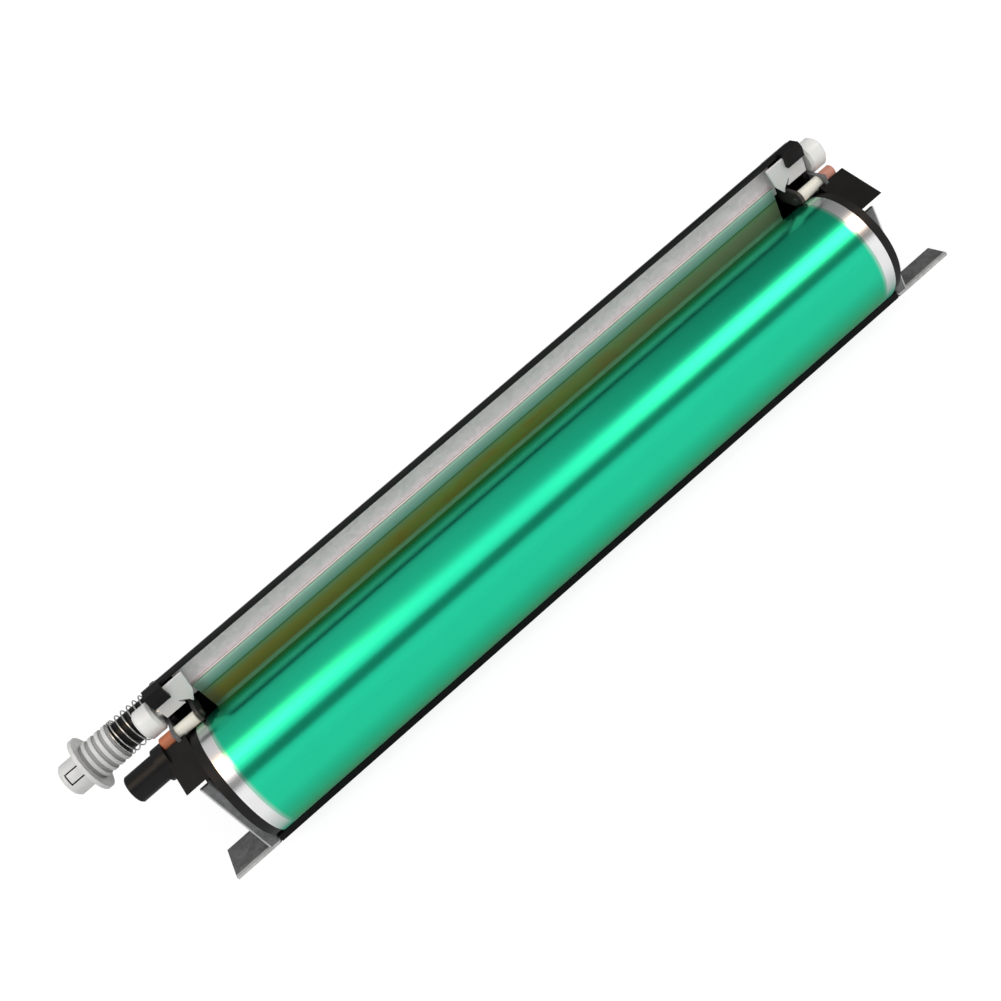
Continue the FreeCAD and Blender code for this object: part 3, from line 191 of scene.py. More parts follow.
class Graph:
    """The node tree of a material or of the world, written as expressions."""

    # A Mix node has sockets for every kind of data: these are the share and the two colours.
    MIX_INPUTS = (0, 6, 7)
    MIX_COLOUR = 2

    def __init__(self, tree: bpy.types.NodeTree) -> None:
        """Empties a node tree and takes it over.

        Args:
            tree: the node tree.
        """
        self.tree = tree
        tree.nodes.clear()

    def raw(self, kind: str, settings: Mapping[str, object], inputs: Mapping) -> bpy.types.Node:
        """Adds a node, with its settings made first and its sockets filled after.

        Args:
            kind: the node's type.
            settings: its own properties. The key stops holds a colour ramp's places and colours.
            inputs: values, colours or links by socket name or index.

        Returns:
            The node.
        """
        node = self.tree.nodes.new(kind)
        for key, setting in settings.items():
            if key == "stops":
                ramp = node.color_ramp
                while len(ramp.elements) < len(setting):
                    ramp.elements.new(0.5)
                for element, (place, colour) in zip(ramp.elements, setting):
                    element.position = place
                    element.color = (*colour, 1.0)
            else:
                setattr(node, key, setting)
        for key, given in inputs.items():
            socket = node.inputs[key]
            if isinstance(given, Value):
                self.tree.links.new(given.socket, socket)
            elif isinstance(given, tuple) and socket.type == "RGBA":
                socket.default_value = (*given, 1.0)
            else:
                socket.default_value = given
        return node

    def node(self, kind: str, settings: Mapping[str, object], inputs: Mapping,
             output: Union[int, str] = 0) -> Value:
        """Adds a node and returns one of its outputs as a value.

        Args:
            kind: the node's type.
            settings: its own properties.
            inputs: values, colours or links by socket name or index.
            output: which output to return.

        Returns:
            The output.
        """
        return Value(self, self.raw(kind, settings, inputs).outputs[output])

    def places(self) -> tuple[Value, Value, Value, Value]:
        """The point of the surface in the part's frame.

        Returns:
            The point as a vector, and its three numbers.
        """
        point = self.node("ShaderNodeTexCoord", {}, {}, "Object")
        split = self.raw("ShaderNodeSeparateXYZ", {}, {0: point})
        return (point, *(Value(self, output) for output in split.outputs))

    def stretched(self, point: Value, scale: Triple) -> Value:
        """The point with each axis scaled by itself, for grain with a direction."""
        return self.node("ShaderNodeMapping", {}, {"Vector": point, "Scale": scale})

    def noise(self, point: Value, scale: float, detail: float = 3.0, rough: float = 0.55) -> Value:
        """Cloudy noise between nought and one.

        Args:
            point: the coordinates that it reads.
            scale: how many clouds there are in a metre.
            detail: how many finer layers it has.
            rough: how strong the finer layers are.

        Returns:
            The noise.
        """
        inputs = {"Vector": point, "Scale": scale, "Detail": detail, "Roughness": rough}
        return self.node("ShaderNodeTexNoise", {}, inputs)

    def dust(self, point: Value, stretch: Triple, scale: float, specked: float) -> Value:
        """Dust that clings to a surface: fine specks and long soft smears.

        Args:
            point: the point of the surface.
            stretch: how each axis is scaled for the smears, which run along the lowest.
            scale: how many smears there are in a metre.
            specked: the level of noise from which on there are specks.

        Returns:
            How much dust there is, from nought upwards.
        """
        specks = self.noise(point, 700.0, detail=5.0, rough=0.7).step(specked, 0.74)
        smears = self.noise(self.stretched(point, stretch), scale, detail=5.0, rough=0.62)
        return specks * 0.6 + smears.step(0.5, 0.8)

    def cells(self, point: Value, scale: float) -> Value:
        """A random grey for each cell of a mosaic, as zinc crystals have.

        Args:
            point: the coordinates that it reads.
            scale: how many cells there are in a metre.

        Returns:
            The grey, between nought and one.
        """
        inputs = {"Vector": point, "Scale": scale}
        colour = self.node("ShaderNodeTexVoronoi", {"feature": "F1"}, inputs, "Color")
        return self.node("ShaderNodeSeparateColor", {}, {0: colour})

    def blend(self, share: Number, first: Shade, second: Shade) -> Value:
        """A colour between two others.

        Args:
            share: how much of the second colour there is.
            first: the first colour.
            second: the second colour.

        Returns:
            The mixed colour.
        """
        inputs = dict(zip(self.MIX_INPUTS, (share, first, second)))
        return self.node("ShaderNodeMix", {"data_type": "RGBA"}, inputs, self.MIX_COLOUR)

    def shades(self, share: Value, colour: Colour, low: float, high: float) -> Value:
        """A colour that varies between two shades of itself.

        Args:
            share: how much of the second shade there is.
            colour: the colour.
            low: the first shade, as a factor.
            high: the second shade, as a factor.

        Returns:
            The varied colour.
        """
        return self.blend(share, scaled(colour, low), scaled(colour, high))

    def layers(self, base: Shade, *over: tuple[Number, Shade]) -> Shade:
        """A colour with others laid over it one after another.

        Args:
            base: the lowest colour.
            over: how much each further layer covers, and its colour.

        Returns:
            The colour seen on top.
        """
        for share, colour in over:
            base = self.blend(share, base, colour)
        return base

    def mixed(self, share: Number, first: Value, second: Value) -> Value:
        """A shader between two others, with a share of the second."""
        return self.node("ShaderNodeMixShader", {}, {0: share, 1: first, 2: second})

    def bump(self, height: Value, depth: float) -> Value:
        """A normal that follows a height.

        Args:
            height: the height, between nought and one.
            depth: what a height of one is, in metres.

        Returns:
            The normal.
        """
        inputs = {"Height": height, "Distance": depth, "Strength": 1.0}
        return self.node("ShaderNodeBump", {}, inputs)

    def surface(self, inputs: Mapping) -> None:
        """Ends a material in one Principled shader with these sockets."""
        shader = self.node("ShaderNodeBsdfPrincipled", {}, inputs)
        self.raw("ShaderNodeOutputMaterial", {}, {"Surface": shader})


class Finish:
    """A finish that a material is made from once."""

    name: str

    def paint(self, graph: Graph) -> None:
        """Draws the finish into an empty node tree.

        Args:
            graph: the material's empty node tree.
        """
        raise NotImplementedError

    def material(self) -> bpy.types.Material:
        """The material of this finish, made the first time it is asked for.

        Returns:
            The material.
        """
        title = f"{self.name}_finish"
        found = bpy.data.materials.get(title)
        if found is None:
            found = bpy.data.materials.new(title)
            found.use_nodes = True
            self.paint(Graph(found.node_tree))
        return found


@dataclass(frozen=True)
class Moulding(Finish):
    """Injection moulded plastic: spark-eroded grain, soft clouding, and dust that clings to it.

    The grain's depth is in millimetres. Clouding and dustiness are shares of the colour.
    """

    name: str
    colour: Colour
    roughness: float
    grain: float
    clouding: float
    dust: Colour
    dustiness: float
    shine: float = 0.5

    def paint(self, graph: Graph) -> None:
        """Draws the moulding.

        Args:
            graph: the material's empty node tree.
        """
        point, _, _, _ = graph.places()
        cloud = graph.noise(point, 90.0, detail=4.0)
        fine = graph.noise(point, 2600.0, detail=2.0)
        tone = graph.shades(cloud, self.colour, 1.0 - self.clouding, 1.0 + self.clouding)
        soil = graph.dust(point, (1.0, 1.0, 0.35), 60.0, specked=0.62) * self.dustiness
        graph.surface({
            "Base Color": graph.blend(soil, tone, self.dust),
            "Roughness": cloud * 0.10 + (self.roughness - 0.05) + soil * 0.25,
            "Specular IOR Level": self.shine,
            "Normal": graph.bump(fine, self.grain * MM),
        })


@dataclass(frozen=True)
class OutletMoulding(Finish):
    """White moulding round the toner outlet, with painted shade in its grooves and slots.

    It turns from white to the colour of the painted shade between two radii round the outlet
    pipe, apart from the rounded end, which is left unshaded.
    """

    name: str
    node: str
    unshaded_radius: float
    shaded_radius: float
    # Colour of the painted shade in the grooves and slots.
    soil: Colour
    colour: Colour = (0.70, 0.70, 0.685)
    dust: Colour = (0.36, 0.35, 0.33)
    wiped: Pair = (1.4 * MM, 1.7 * MM)

    def paint(self, graph: Graph) -> None:
        """Draws the moulding, with painted shade below its outer surface.

        Args:
            graph: the material's empty node tree.
        """
        point, x, y, z = graph.places()
        low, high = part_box("outlet_pipe")
        across = y - (low.y + high.y) / 2
        rise = z - (low.z + high.z) / 2
        radius = (across * across + rise * rise) ** 0.5
        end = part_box(self.node)[0].x
        inward = x.step(end + self.wiped[0], end + self.wiped[1])
        # Painted shade in the grooves and slots below the outer surface, apart from the rounded
        # end.
        shaded_recess = radius.step(self.unshaded_radius, self.shaded_radius) * inward
        cloud = graph.noise(point, 90.0, detail=4.0)
        dusty = graph.dust(point, (0.5, 1.0, 1.0), 80.0, specked=0.60)
        graph.surface({
            "Base Color": graph.layers(
                graph.shades(cloud, self.colour, 0.96, 1.04),
                (dusty * 0.16, self.dust),
                (shaded_recess, self.soil)),
            "Roughness": cloud * 0.10 + shaded_recess * 0.2 + 0.35,
            "Specular IOR Level": 0.4,
            "Normal": graph.bump(graph.noise(point, 2600.0, detail=2.0), 0.006 * MM),
        })


@dataclass(frozen=True)
class DrumCoating(Finish):
    """Green light-sensitive coating on a bright turned tube that is bare at both ends."""

    name: str
    coated_half: float = 177.5 * MM
    coated_radius: float = 29.4 * MM
    ragged_by: float = 0.25 * MM
    ragged_mean: float = 0.12 * MM
    thinned_over: float = 2.4 * MM
    green: Colour = (0.002, 0.525, 0.290)
    metal: Colour = (0.80, 0.79, 0.80)
    tint: Colour = (0.02, 0.60, 0.36)

    def paint(self, graph: Graph) -> None:
        """Draws the coating, its edge and the bare bands.

        Args:
            graph: the material's empty node tree.
        """
        point, x, y, z = graph.places()
        radius = (y * y + z * z) ** 0.5
        ragged = graph.noise(point, 900.0) * self.ragged_by
        edge = ragged + (self.coated_half - self.ragged_mean)
        coated = abs(x).maths("LESS_THAN", edge) * radius.above(self.coated_radius)
        thin = abs(x).step(self.coated_half - self.thinned_over, self.coated_half) * coated
        drift = graph.noise(graph.stretched(point, (6.0, 1.0, 1.0)), 9.0, detail=2.0)
        streak = graph.noise(graph.stretched(point, (900.0, 3.0, 3.0)), 1.0, detail=2.0)
        green = graph.shades(drift, self.green, 0.97, 1.03)
        green = graph.blend(thin * 0.5, green, scaled(self.metal, 0.8))
        metal = graph.shades(streak * 0.3, self.metal, 1.0, 0.75)
        graph.surface({
            "Base Color": graph.blend(coated, metal, green),
            "Metallic": coated * -0.06 + 1.0,
            "Roughness": coated * -0.02 + (drift * 0.03 + 0.215),
            "Specular Tint": self.tint,
            "Coat Weight": coated * 0.45,
            "Coat Roughness": 0.22,
            "Coat IOR": 1.45,
        })


@dataclass(frozen=True)
class ZincSheet(Finish):
    """Pressed steel sheet with a zinc coat: fine crystals, rolling lines and dull handling."""

    name: str
    colour: Colour = (0.56, 0.56, 0.555)
    metallic: float = 0.75
    roughness: float = 0.42
    marks: float = 0.35

    def paint(self, graph: Graph) -> None:
        """Draws the sheet.

        Args:
            graph: the material's empty node tree.
        """
        point, _, _, _ = graph.places()
        crystals = graph.cells(point, 420.0)
        rolled = graph.noise(graph.stretched(point, (4.0, 240.0, 240.0)), 6.0)
        handled = graph.noise(point, 38.0, detail=5.0, rough=0.65).step(0.42, 0.72)
        tone = graph.shades(crystals * 0.5 + rolled * 0.5, self.colour, 0.86, 1.12)
        graph.surface({
            "Base Color": graph.blend(handled * self.marks, tone, scaled(self.colour, 0.62)),
            "Metallic": self.metallic,
            "Roughness": crystals * 0.10 + handled * 0.12 + (self.roughness - 0.06),
            "Normal": graph.bump(rolled, 0.004 * MM),
        })


@dataclass(frozen=True)
class EndSheet(Finish):
    """Soiled zinc coated end plate: dull dark faces, with painted highlights on sheared edges.

    The painted highlights lie on the front of the foot, below foot_top, and on the front of the
    fold, farther out than fold_reach.
    """

    name: str
    fold_reach: float
    front: float = -11.0 * MM
    foot_top: float = -31.8 * MM
    foot_depth: float = 0.12 * MM
    fold_depth: float = 1.7 * MM
    face: Colour = (0.150, 0.152, 0.155)
    # Colour of the painted edge highlight.
    edge: Colour = (0.62, 0.62, 0.61)

    def paint(self, graph: Graph) -> None:
        """Draws the faces and the sheared edges.

        Args:
            graph: the material's empty node tree.
        """
        point, x, y, z = graph.places()
        crystals = graph.cells(point, 420.0)
        cloud = graph.noise(point, 55.0, detail=5.0, rough=0.65)
        upright = graph.stretched(point, (1.0, 1.0, 0.4))
        soil = graph.noise(upright, 140.0, detail=5.0, rough=0.7).step(0.45, 0.75)
        # Painted highlight along the front edges of the foot and of the fold.
        foot = (self.front + self.foot_depth - y).above(0.0) * (self.foot_top - z).above(0.0)
        ahead = (self.front + self.fold_depth - y).above(0.0)
        fold = (abs(x) - self.fold_reach).above(0.0) * ahead
        graph.surface({
            "Base Color": graph.layers(
                graph.shades(crystals * 0.4 + cloud * 0.6, self.face, 0.55, 1.7),
                (soil * 0.5, scaled(self.face, 0.35)),
                (foot.maths("MAXIMUM", fold) * (1.0 - soil * 0.4), self.edge)),
            "Metallic": 0.45,
            "Roughness": crystals * 0.10 + cloud * 0.12 + 0.36,
            "Normal": graph.bump(cloud, 0.05 * MM),
        })


@dataclass(frozen=True)
class BrightSteel(Finish):
    """Plated steel of pins, studs, springs and screws, with turning marks round the X axis."""

    name: str
    colour: Colour = (0.62, 0.62, 0.61)
    roughness: float = 0.24

    def paint(self, graph: Graph) -> None:
        """Draws the steel.

        Args:
            graph: the material's empty node tree.
        """
        point, _, _, _ = graph.places()
        turning = graph.noise(graph.stretched(point, (1400.0, 30.0, 30.0)), 1.0, detail=2.0)
        tarnish = graph.noise(point, 160.0, detail=4.0).step(0.45, 0.8)
        graph.surface({
            "Base Color": graph.shades(tarnish * 0.5, self.colour, 1.0, 0.55),
            "Metallic": 1.0,
            "Roughness": turning * 0.08 + tarnish * 0.14 + self.roughness,
            "Normal": graph.bump(turning, 0.003 * MM),
        })


@dataclass(frozen=True)
class BladeUrethane(Finish):
    """Clear amber urethane strip: a painted reflection of the drum makes it pale where it is
    bonded to its holder, and it is dark where free, with painted highlight and shadow lines.

    Its tip is given in the end view, as a radius and an elevation behind the drum's axis, and
    its lean from upright, both angles in degrees. Widths are measured up from the tip, and
    depths outwards from the strip's middle, so those of its front rim are negative.
    """

    name: str
    tip_radius: float = 30.3 * MM
    tip_elevation: float = 35.0
    lean: float = 9.23
    bonded_from: float = 15.8 * MM
    width: float = 21.7 * MM
    end: float = 172.5 * MM
    amber: Colour = (0.250, 0.180, 0.034)
    moss: Colour = (0.200, 0.248, 0.056)
    left_brown: Colour = (0.265, 0.195, 0.045)
    right_sage: Colour = (0.195, 0.230, 0.150)
    # Painted green reflection of the drum, over the free part towards the holder.
    drum_reflection_green: Colour = (0.15, 0.26, 0.13)
    # Painted shadow line along the holder's edge.
    holder_edge_shadow: Colour = (0.07, 0.15, 0.06)
    # Painted highlight along the tip.
    tip_highlight: Colour = (0.28, 0.56, 0.38)
    # Painted reflection of the drum over the bonded part, dark low down and pale high up, with
    # pale speckles.
    bonded_reflection_low: Colour = (0.135, 0.330, 0.265)
    bonded_reflection_high: Colour = (0.35, 0.51, 0.48)
    bonded_reflection_speckle: Colour = (0.46, 0.50, 0.46)
    # Painted highlight just under the top edge of the bonded part.
    top_edge_highlight: Colour = (0.42, 0.62, 0.52)
    # The front rim's colours are painted light: a shaded back, a highlight, a thin shade line and
    # a green reflection of the drum.
    rim_back_shade: Colour = (0.30, 0.26, 0.22)
    rim_highlight: Colour = (0.86, 0.83, 0.76)
    rim_shade_line: Colour = (0.15, 0.14, 0.10)
    rim_reflection: Colour = (0.42, 0.58, 0.50)
    # Darkens the strip towards both ends.
    end_darkening: Colour = (0.12, 0.12, 0.09)

    def paint(self, graph: Graph) -> None:
        """Draws the strip across its width.

        Args:
            graph: the material's empty node tree.
        """
        point, x, y, z = graph.places()
        turn, lean = math.radians(self.tip_elevation), math.radians(self.lean)
        tip = (self.tip_radius * math.cos(turn), self.tip_radius * math.sin(turn))
        along = (-math.sin(lean), math.cos(lean))
        up = (y - tip[0]) * along[0] + (z - tip[1]) * along[1]
        out = (y - tip[0]) * -along[1] + (z - tip[1]) * along[0]
        drift = graph.noise(graph.stretched(point, (1.0, 6.0, 6.0)), 26.0)
        fine = graph.noise(graph.stretched(point, (1.0, 4.0, 4.0)), 240.0)
        patches = graph.noise(graph.stretched(point, (1.0, 3.0, 3.0)), 44.0, detail=4.0)
        bond, top = self.bonded_from, self.width
        # Darker towards both ends, more so at the left end.
        ends = x.step(-165.0 * MM, -self.end) * 0.6 + x.step(167.0 * MM, self.end) * 0.2
        free = graph.layers(
            graph.blend(patches.step(0.30, 0.60), self.amber, self.moss),
            (x.step(20.0 * MM, -160.0 * MM) * 0.7, self.left_brown),
            (x.step(0.0, 170.0 * MM) * 0.85, self.right_sage),
            # Painted green reflection of the drum towards the holder.
            (up.step(bond * 0.66, bond), self.drum_reflection_green),
            # Painted shadow line along the holder's edge.
            (up.step(bond - 1.3 * MM, bond - 0.7 * MM), self.holder_edge_shadow),
            # Painted highlight along the tip.
            (up.step(6.2 * MM, 4.2 * MM) * (fine * 0.9 + 0.35), self.tip_highlight))
        # The bonded part's colour is a painted reflection of the drum.
        bonded = graph.layers(
            graph.blend(up.step(bond, top), self.bonded_reflection_low, self.bonded_reflection_high),
            (fine * 0.25, self.bonded_reflection_speckle),
            # Painted highlight just under the top edge of the bonded part.
            (up.step(top - 1.4 * MM, top - 0.9 * MM), self.top_edge_highlight))
        # The front rim is painted: a shaded back, a highlight, a thin shade line and a reflection
        # of the drum.
        rim = graph.layers(
            graph.blend(out.step(-2.05 * MM, -1.85 * MM), self.rim_back_shade, self.rim_highlight),
            (out.step(-0.95 * MM, -0.75 * MM), self.rim_shade_line),
            (out.step(-0.45 * MM, -0.30 * MM), self.rim_reflection))
        graph.surface({
            "Base Color": graph.layers(
                free,
                (up.step(bond - 0.5 * MM, bond + 0.3 * MM), bonded),
                (up.step(top - 0.12 * MM, top - 0.02 * MM), rim),
                (ends, self.end_darkening)),
            "Roughness": drift * 0.08 + 0.20,
            "Normal": graph.bump(drift, 0.02 * MM),
        })


@dataclass(frozen=True)
class BrushPile(Finish):
    """Dark conductive pile of the brush roller."""

    name: str
    colour: Colour = (0.030, 0.030, 0.034)

    def paint(self, graph: Graph) -> None:
        """Draws the tufts.

        Args:
            graph: the material's empty node tree.
        """
        point, _, _, _ = graph.places()
        tufts = graph.noise(point, 1500.0, detail=2.0)
        rows = graph.cells(graph.stretched(point, (1.0, 1.6, 1.6)), 620.0)
        graph.surface({
            "Base Color": graph.shades(tufts * 0.6 + rows * 0.4, self.colour, 0.5, 2.2),
            "Roughness": 0.9,
            "Sheen Weight": 0.4,
            "Normal": graph.bump(tufts + rows, 0.35 * MM),
        })


BLACK = Moulding(
    "black_moulding", (0.0050, 0.0050, 0.0052), roughness=0.36, grain=0.014, clouding=0.25,
    dust=(0.04, 0.04, 0.04), dustiness=0.10, shine=0.17)
DEEP_BLACK = Moulding(
    "dark_flange", (0.007, 0.007, 0.007), roughness=0.50, grain=0.016, clouding=0.25,
    dust=(0.04, 0.04, 0.04), dustiness=0.10, shine=0.20)
WHITE = Moulding(
    "white_moulding", (0.80, 0.80, 0.775), roughness=0.36, grain=0.006, clouding=0.03,
    dust=(0.42, 0.41, 0.39), dustiness=0.14)
PLATE_WHITE = Moulding(
    "seal_plate_moulding", (0.74, 0.72, 0.71), roughness=0.42, grain=0.008, clouding=0.05,
    dust=(0.34, 0.33, 0.32), dustiness=0.22, shine=0.3)
CREAM = Moulding(
    "cream_moulding", (0.78, 0.755, 0.66), roughness=0.38, grain=0.006, clouding=0.03,
    dust=(0.45, 0.40, 0.33), dustiness=0.14)
PALE_ORANGE = Moulding(
    "pale_orange_moulding", (0.50, 0.215, 0.155), roughness=0.45, grain=0.010, clouding=0.14,
    dust=(0.60, 0.40, 0.36), dustiness=0.3)
ORANGE = Moulding(
    "orange_moulding", (0.42, 0.125, 0.052), roughness=0.45, grain=0.010, clouding=0.12,
    dust=(0.45, 0.28, 0.22), dustiness=0.25)
FILM = Moulding(
    "seal_film", (0.022, 0.022, 0.022), roughness=0.30, grain=0.002, clouding=0.10,
    dust=(0.10, 0.10, 0.10), dustiness=0.10)
# Painted shade in the outlet cap's slots and in the sleeve's grooves.
CAP_WHITE = OutletMoulding(
    "outlet_cap_moulding", "outlet_cap", unshaded_radius=8.35 * MM, shaded_radius=8.2 * MM,
    soil=(0.03, 0.03, 0.03))
SLEEVE_WHITE = OutletMoulding(
    "sleeve_moulding", "shutter_sleeve", unshaded_radius=9.6 * MM, shaded_radius=9.1 * MM,
    soil=(0.34, 0.34, 0.33))
COATING = DrumCoating("drum_coating")
ZINC = ZincSheet("zinc_sheet")
HOLDER_ZINC = ZincSheet(
    "holder_zinc", (0.88, 0.728, 0.792), metallic=0.10, roughness=0.50, marks=0.10)
# A very dark sheet finish, for the blade bracket and the pivot pins.
DARK_STEEL = ZincSheet(
    "dark_sheet", (0.040, 0.038, 0.036), metallic=0.30, roughness=0.50, marks=0.4)
END_ZINC = EndSheet("end_plate_zinc", fold_reach=195.5 * MM)
RIGHT_ZINC = EndSheet("right_plate_zinc", fold_reach=196.8 * MM)
STEEL = BrightSteel("bright_steel")
URETHANE = BladeUrethane("blade_urethane")
PILE = BrushPile("brush_pile")


class Bench:
    """Where new pieces are modelled with Blender's own operators."""

    @staticmethod
    def take(obj: bpy.types.Object) -> None:
        """Selects one object alone and makes it active.

        Args:
            obj: the object.
        """
        bpy.ops.object.select_all(action="DESELECT")
        obj.select_set(True)
        bpy.context.view_layer.objects.active = obj

    @staticmethod
    def fresh(name: str) -> bpy.types.Object:
        """Names the object that has just been made.

        Args:
            name: its new name.

        Returns:
            The object.
        """
        obj = bpy.context.active_object
        obj.name = name
        obj.data.name = name
        return obj

    @classmethod
    def settle(cls, obj: bpy.types.Object) -> bpy.types.Object:
        """Moves an object's place, turn and scale into its mesh.

        Args:
            obj: the object.

        Returns:
            The same object.
        """
        cls.take(obj)
        bpy.ops.object.transform_apply(location=True, rotation=True, scale=True)
        return obj

    @classmethod
    def modify(cls, obj: bpy.types.Object, kind: str, settings: Mapping[str, object]) -> None:
        """Adds a modifier and applies it at once.

        Args:
            obj: the object.
            kind: the modifier's type.
            settings: its properties.
        """
        cls.take(obj)
        modifier = obj.modifiers.new(kind.lower(), kind)
        for key, setting in settings.items():
            setattr(modifier, key, setting)
        bpy.ops.object.modifier_apply(modifier=modifier.name)

    @classmethod
    def bevel(cls, obj: bpy.types.Object, width: float, segments: int) -> None:
        """Rounds the edges that are sharper than 60 degrees.

        Args:
            obj: the object.
            width: how wide the rounding is.
            segments: how many faces it has.
        """
        cls.modify(obj, "BEVEL", {"width": width, "segments": segments, "limit_method": "ANGLE",
                                  "angle_limit": math.radians(60)})

    @classmethod
    def rod(cls, name: str, sides: int, radius: float, span: Pair,
            centre: Pair) -> bpy.types.Object:
        """Adds a round bar along X.

        Args:
            name: the new object's name.
            sides: how many flats stand for its round side.
            radius: its radius.
            span: where it starts and ends along X.
            centre: where its centre line is in Y and Z.

        Returns:
            The bar, with its place in its mesh.
        """
        bpy.ops.mesh.primitive_cylinder_add(
            vertices=sides, radius=radius, depth=abs(span[0] - span[1]),
            location=((span[0] + span[1]) / 2, *centre), rotation=(0, math.pi / 2, 0))
        return cls.settle(cls.fresh(name))

    @classmethod
    def soften(cls, obj: bpy.types.Object, angle: float) -> None:
        """Shades an object smooth, apart from edges sharper than an angle in degrees."""
        cls.take(obj)
        bpy.ops.object.shade_smooth_by_angle(angle=math.radians(angle))

    @classmethod
    def repair(cls, obj: bpy.types.Object) -> None:
        """Merges doubles and turns every face outwards.

        Args:
            obj: the object.
        """
        cls.take(obj)
        bpy.ops.object.mode_set(mode="EDIT")
        bpy.ops.mesh.select_all(action="SELECT")
        bpy.ops.mesh.remove_doubles(threshold=1e-6)
        bpy.ops.mesh.normals_make_consistent(inside=False)
        bpy.ops.object.mode_set(mode="OBJECT")

    @classmethod
    def cap(cls, obj: bpy.types.Object) -> None:
        """Closes the open ends of a tube with one face each.

        Args:
            obj: the object.
        """
        cls.take(obj)
        bpy.ops.object.mode_set(mode="EDIT")
        bpy.ops.mesh.select_all(action="DESELECT")
        bpy.ops.mesh.select_mode(type="EDGE")
        bpy.ops.mesh.select_non_manifold()
        bpy.ops.mesh.edge_face_add()
        bpy.ops.object.mode_set(mode="OBJECT")

    @classmethod
    def join(cls, parts: Sequence[bpy.types.Object], name: str) -> bpy.types.Object:
        """Joins several objects into one.

        Args:
            parts: the objects.
            name: the new name.

        Returns:
            The joined object.
        """
        cls.take(parts[0])
        for part in parts[1:]:
            part.select_set(True)
        bpy.ops.object.join()
        return cls.fresh(name)

    @staticmethod
    def dress(obj: bpy.types.Object, finish: Finish) -> None:
        """Gives a new piece its one material."""
        obj.data.materials.clear()
        obj.data.materials.append(finish.material())


def clusters(node: bpy.types.Object, across: float, along: float) -> list[tuple[Vector, Vector]]:
    """Boxes of the separate solids of a node whose solids lie apart.

    Args:
        node: the node's object.
        across: how far from a solid's middle its points may lie across X.
        along: how far from it they may lie along X.

    Returns:
        The lowest and highest corner of each solid.
    """
    found: list[tuple[Vector, Vector]] = []
    for vertex in node.data.vertices:
        point = vertex.co
        for low, high in found:
            middle = (low + high) / 2
            if (point.yz - middle.yz).length < across and abs(point.x - middle.x) < along:
                for axis in range(3):
                    low[axis] = min(low[axis], point[axis])
                    high[axis] = max(high[axis], point[axis])
                break
        else:
            found.append((point.copy(), point.copy()))
    return found


class Assembly:
    """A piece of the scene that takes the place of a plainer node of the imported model."""

    def build(self, nodes: Mapping[str, bpy.types.Object]) -> bpy.types.Object:
        """Models the piece and puts it in the node's place.

        Args:
            nodes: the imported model's nodes.

        Returns:
            The finished piece.
        """
        raise NotImplementedError


@dataclass
class CrossHeadScrews(Assembly):
    """Pan head screws with a cross recess, in place of plain ones.

    Points that lie within across and along of a screw's middle belong to that screw. From each
    screw to the next the recess turns by some degrees, the first of the spins on the right
    side and the second on the left.
    """

    node: str
    body: str
    across: float = 3.77 * MM
    along: float = 15.08 * MM
    head_sides: int = 40
    head_radius: float = 2.9 * MM
    head_height: float = 2.0 * MM
    head_round: float = 0.75 * MM
    shank_sides: int = 24
    shank_radius: float = 1.5 * MM
    shank_round: float = 0.3 * MM
    recess_width: float = 0.75 * MM
    recess_reach: float = 1.75 * MM
    recess_depth: float = 1.3 * MM
    recess_taper: Triple = (1.0, 0.35, 0.8)
    spins: Pair = (17.0, 23.0)

    def pattern(self) -> bpy.types.Object:
        """Models one screw's head towards +X, with its seat at the origin.

        Returns:
            The head's object.
        """
        head = Bench.rod("screw_head", self.head_sides, self.head_radius,
                         span=(0.0, self.head_height), centre=(0.0, 0.0))
        Bench.bevel(head, self.head_round, segments=4)
        top = (self.head_height, 0, 0)
        for turn in (0.0, math.pi / 2):
            bpy.ops.mesh.primitive_cube_add(size=1.0, location=top)
            bar = Bench.fresh("recess_bar")
            bar.scale = (self.recess_depth * 2, self.recess_reach * 2, self.recess_width)
            Bench.settle(bar)
            bpy.ops.object.mode_set(mode="EDIT")
            mesh = bmesh.from_edit_mesh(bar.data)
            for vertex in mesh.verts:
                vertex.select = vertex.co.x < self.head_height
            mesh.select_flush(True)
            bmesh.update_edit_mesh(bar.data)
            bpy.ops.transform.resize(value=self.recess_taper, center_override=top)
            bpy.ops.object.mode_set(mode="OBJECT")
            bar.rotation_euler = (turn, 0, 0)
            Bench.settle(bar)
            Bench.modify(head, "BOOLEAN",
                         {"operation": "DIFFERENCE", "object": bar, "solver": "EXACT"})
            bpy.data.objects.remove(bar)
        return head

    def build(self, nodes: Mapping[str, bpy.types.Object]) -> bpy.types.Object:
        """Copies the screw to each place of the node's own screws.

        Args:
            nodes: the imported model's nodes.

        Returns:
            The finished piece, with all of the node's screws.
        """
        pattern = self.pattern()
        parts = []
        for low, high in clusters(nodes[self.node], self.across, self.along):
            on_right = low.x + high.x > 0
            seat = high.x - self.head_height if on_right else low.x + self.head_height
            start = low.x if on_right else high.x
            middle = (low + high) / 2
            copy = pattern.copy()
            copy.data = pattern.data.copy()
            bpy.context.collection.objects.link(copy)
            copy.location = (seat, middle.y, middle.z)
            spin = self.spins[0 if on_right else 1] * len(parts)
            copy.rotation_euler = (math.radians(spin), 0, 0 if on_right else math.pi)
            shank = Bench.rod("screw_shank", self.shank_sides, self.shank_radius,
                              span=(seat, start), centre=tuple(middle.yz))
            Bench.bevel(shank, self.shank_round, segments=2)
            parts += [Bench.settle(copy), shank]
        bpy.data.objects.remove(pattern)
        piece = Bench.join(parts, f"{self.node}_detailed")
        Bench.soften(piece, 30.0)
        Bench.dress(piece, STEEL)
        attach(piece, self.body)
        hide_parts(self.node)
        return piece


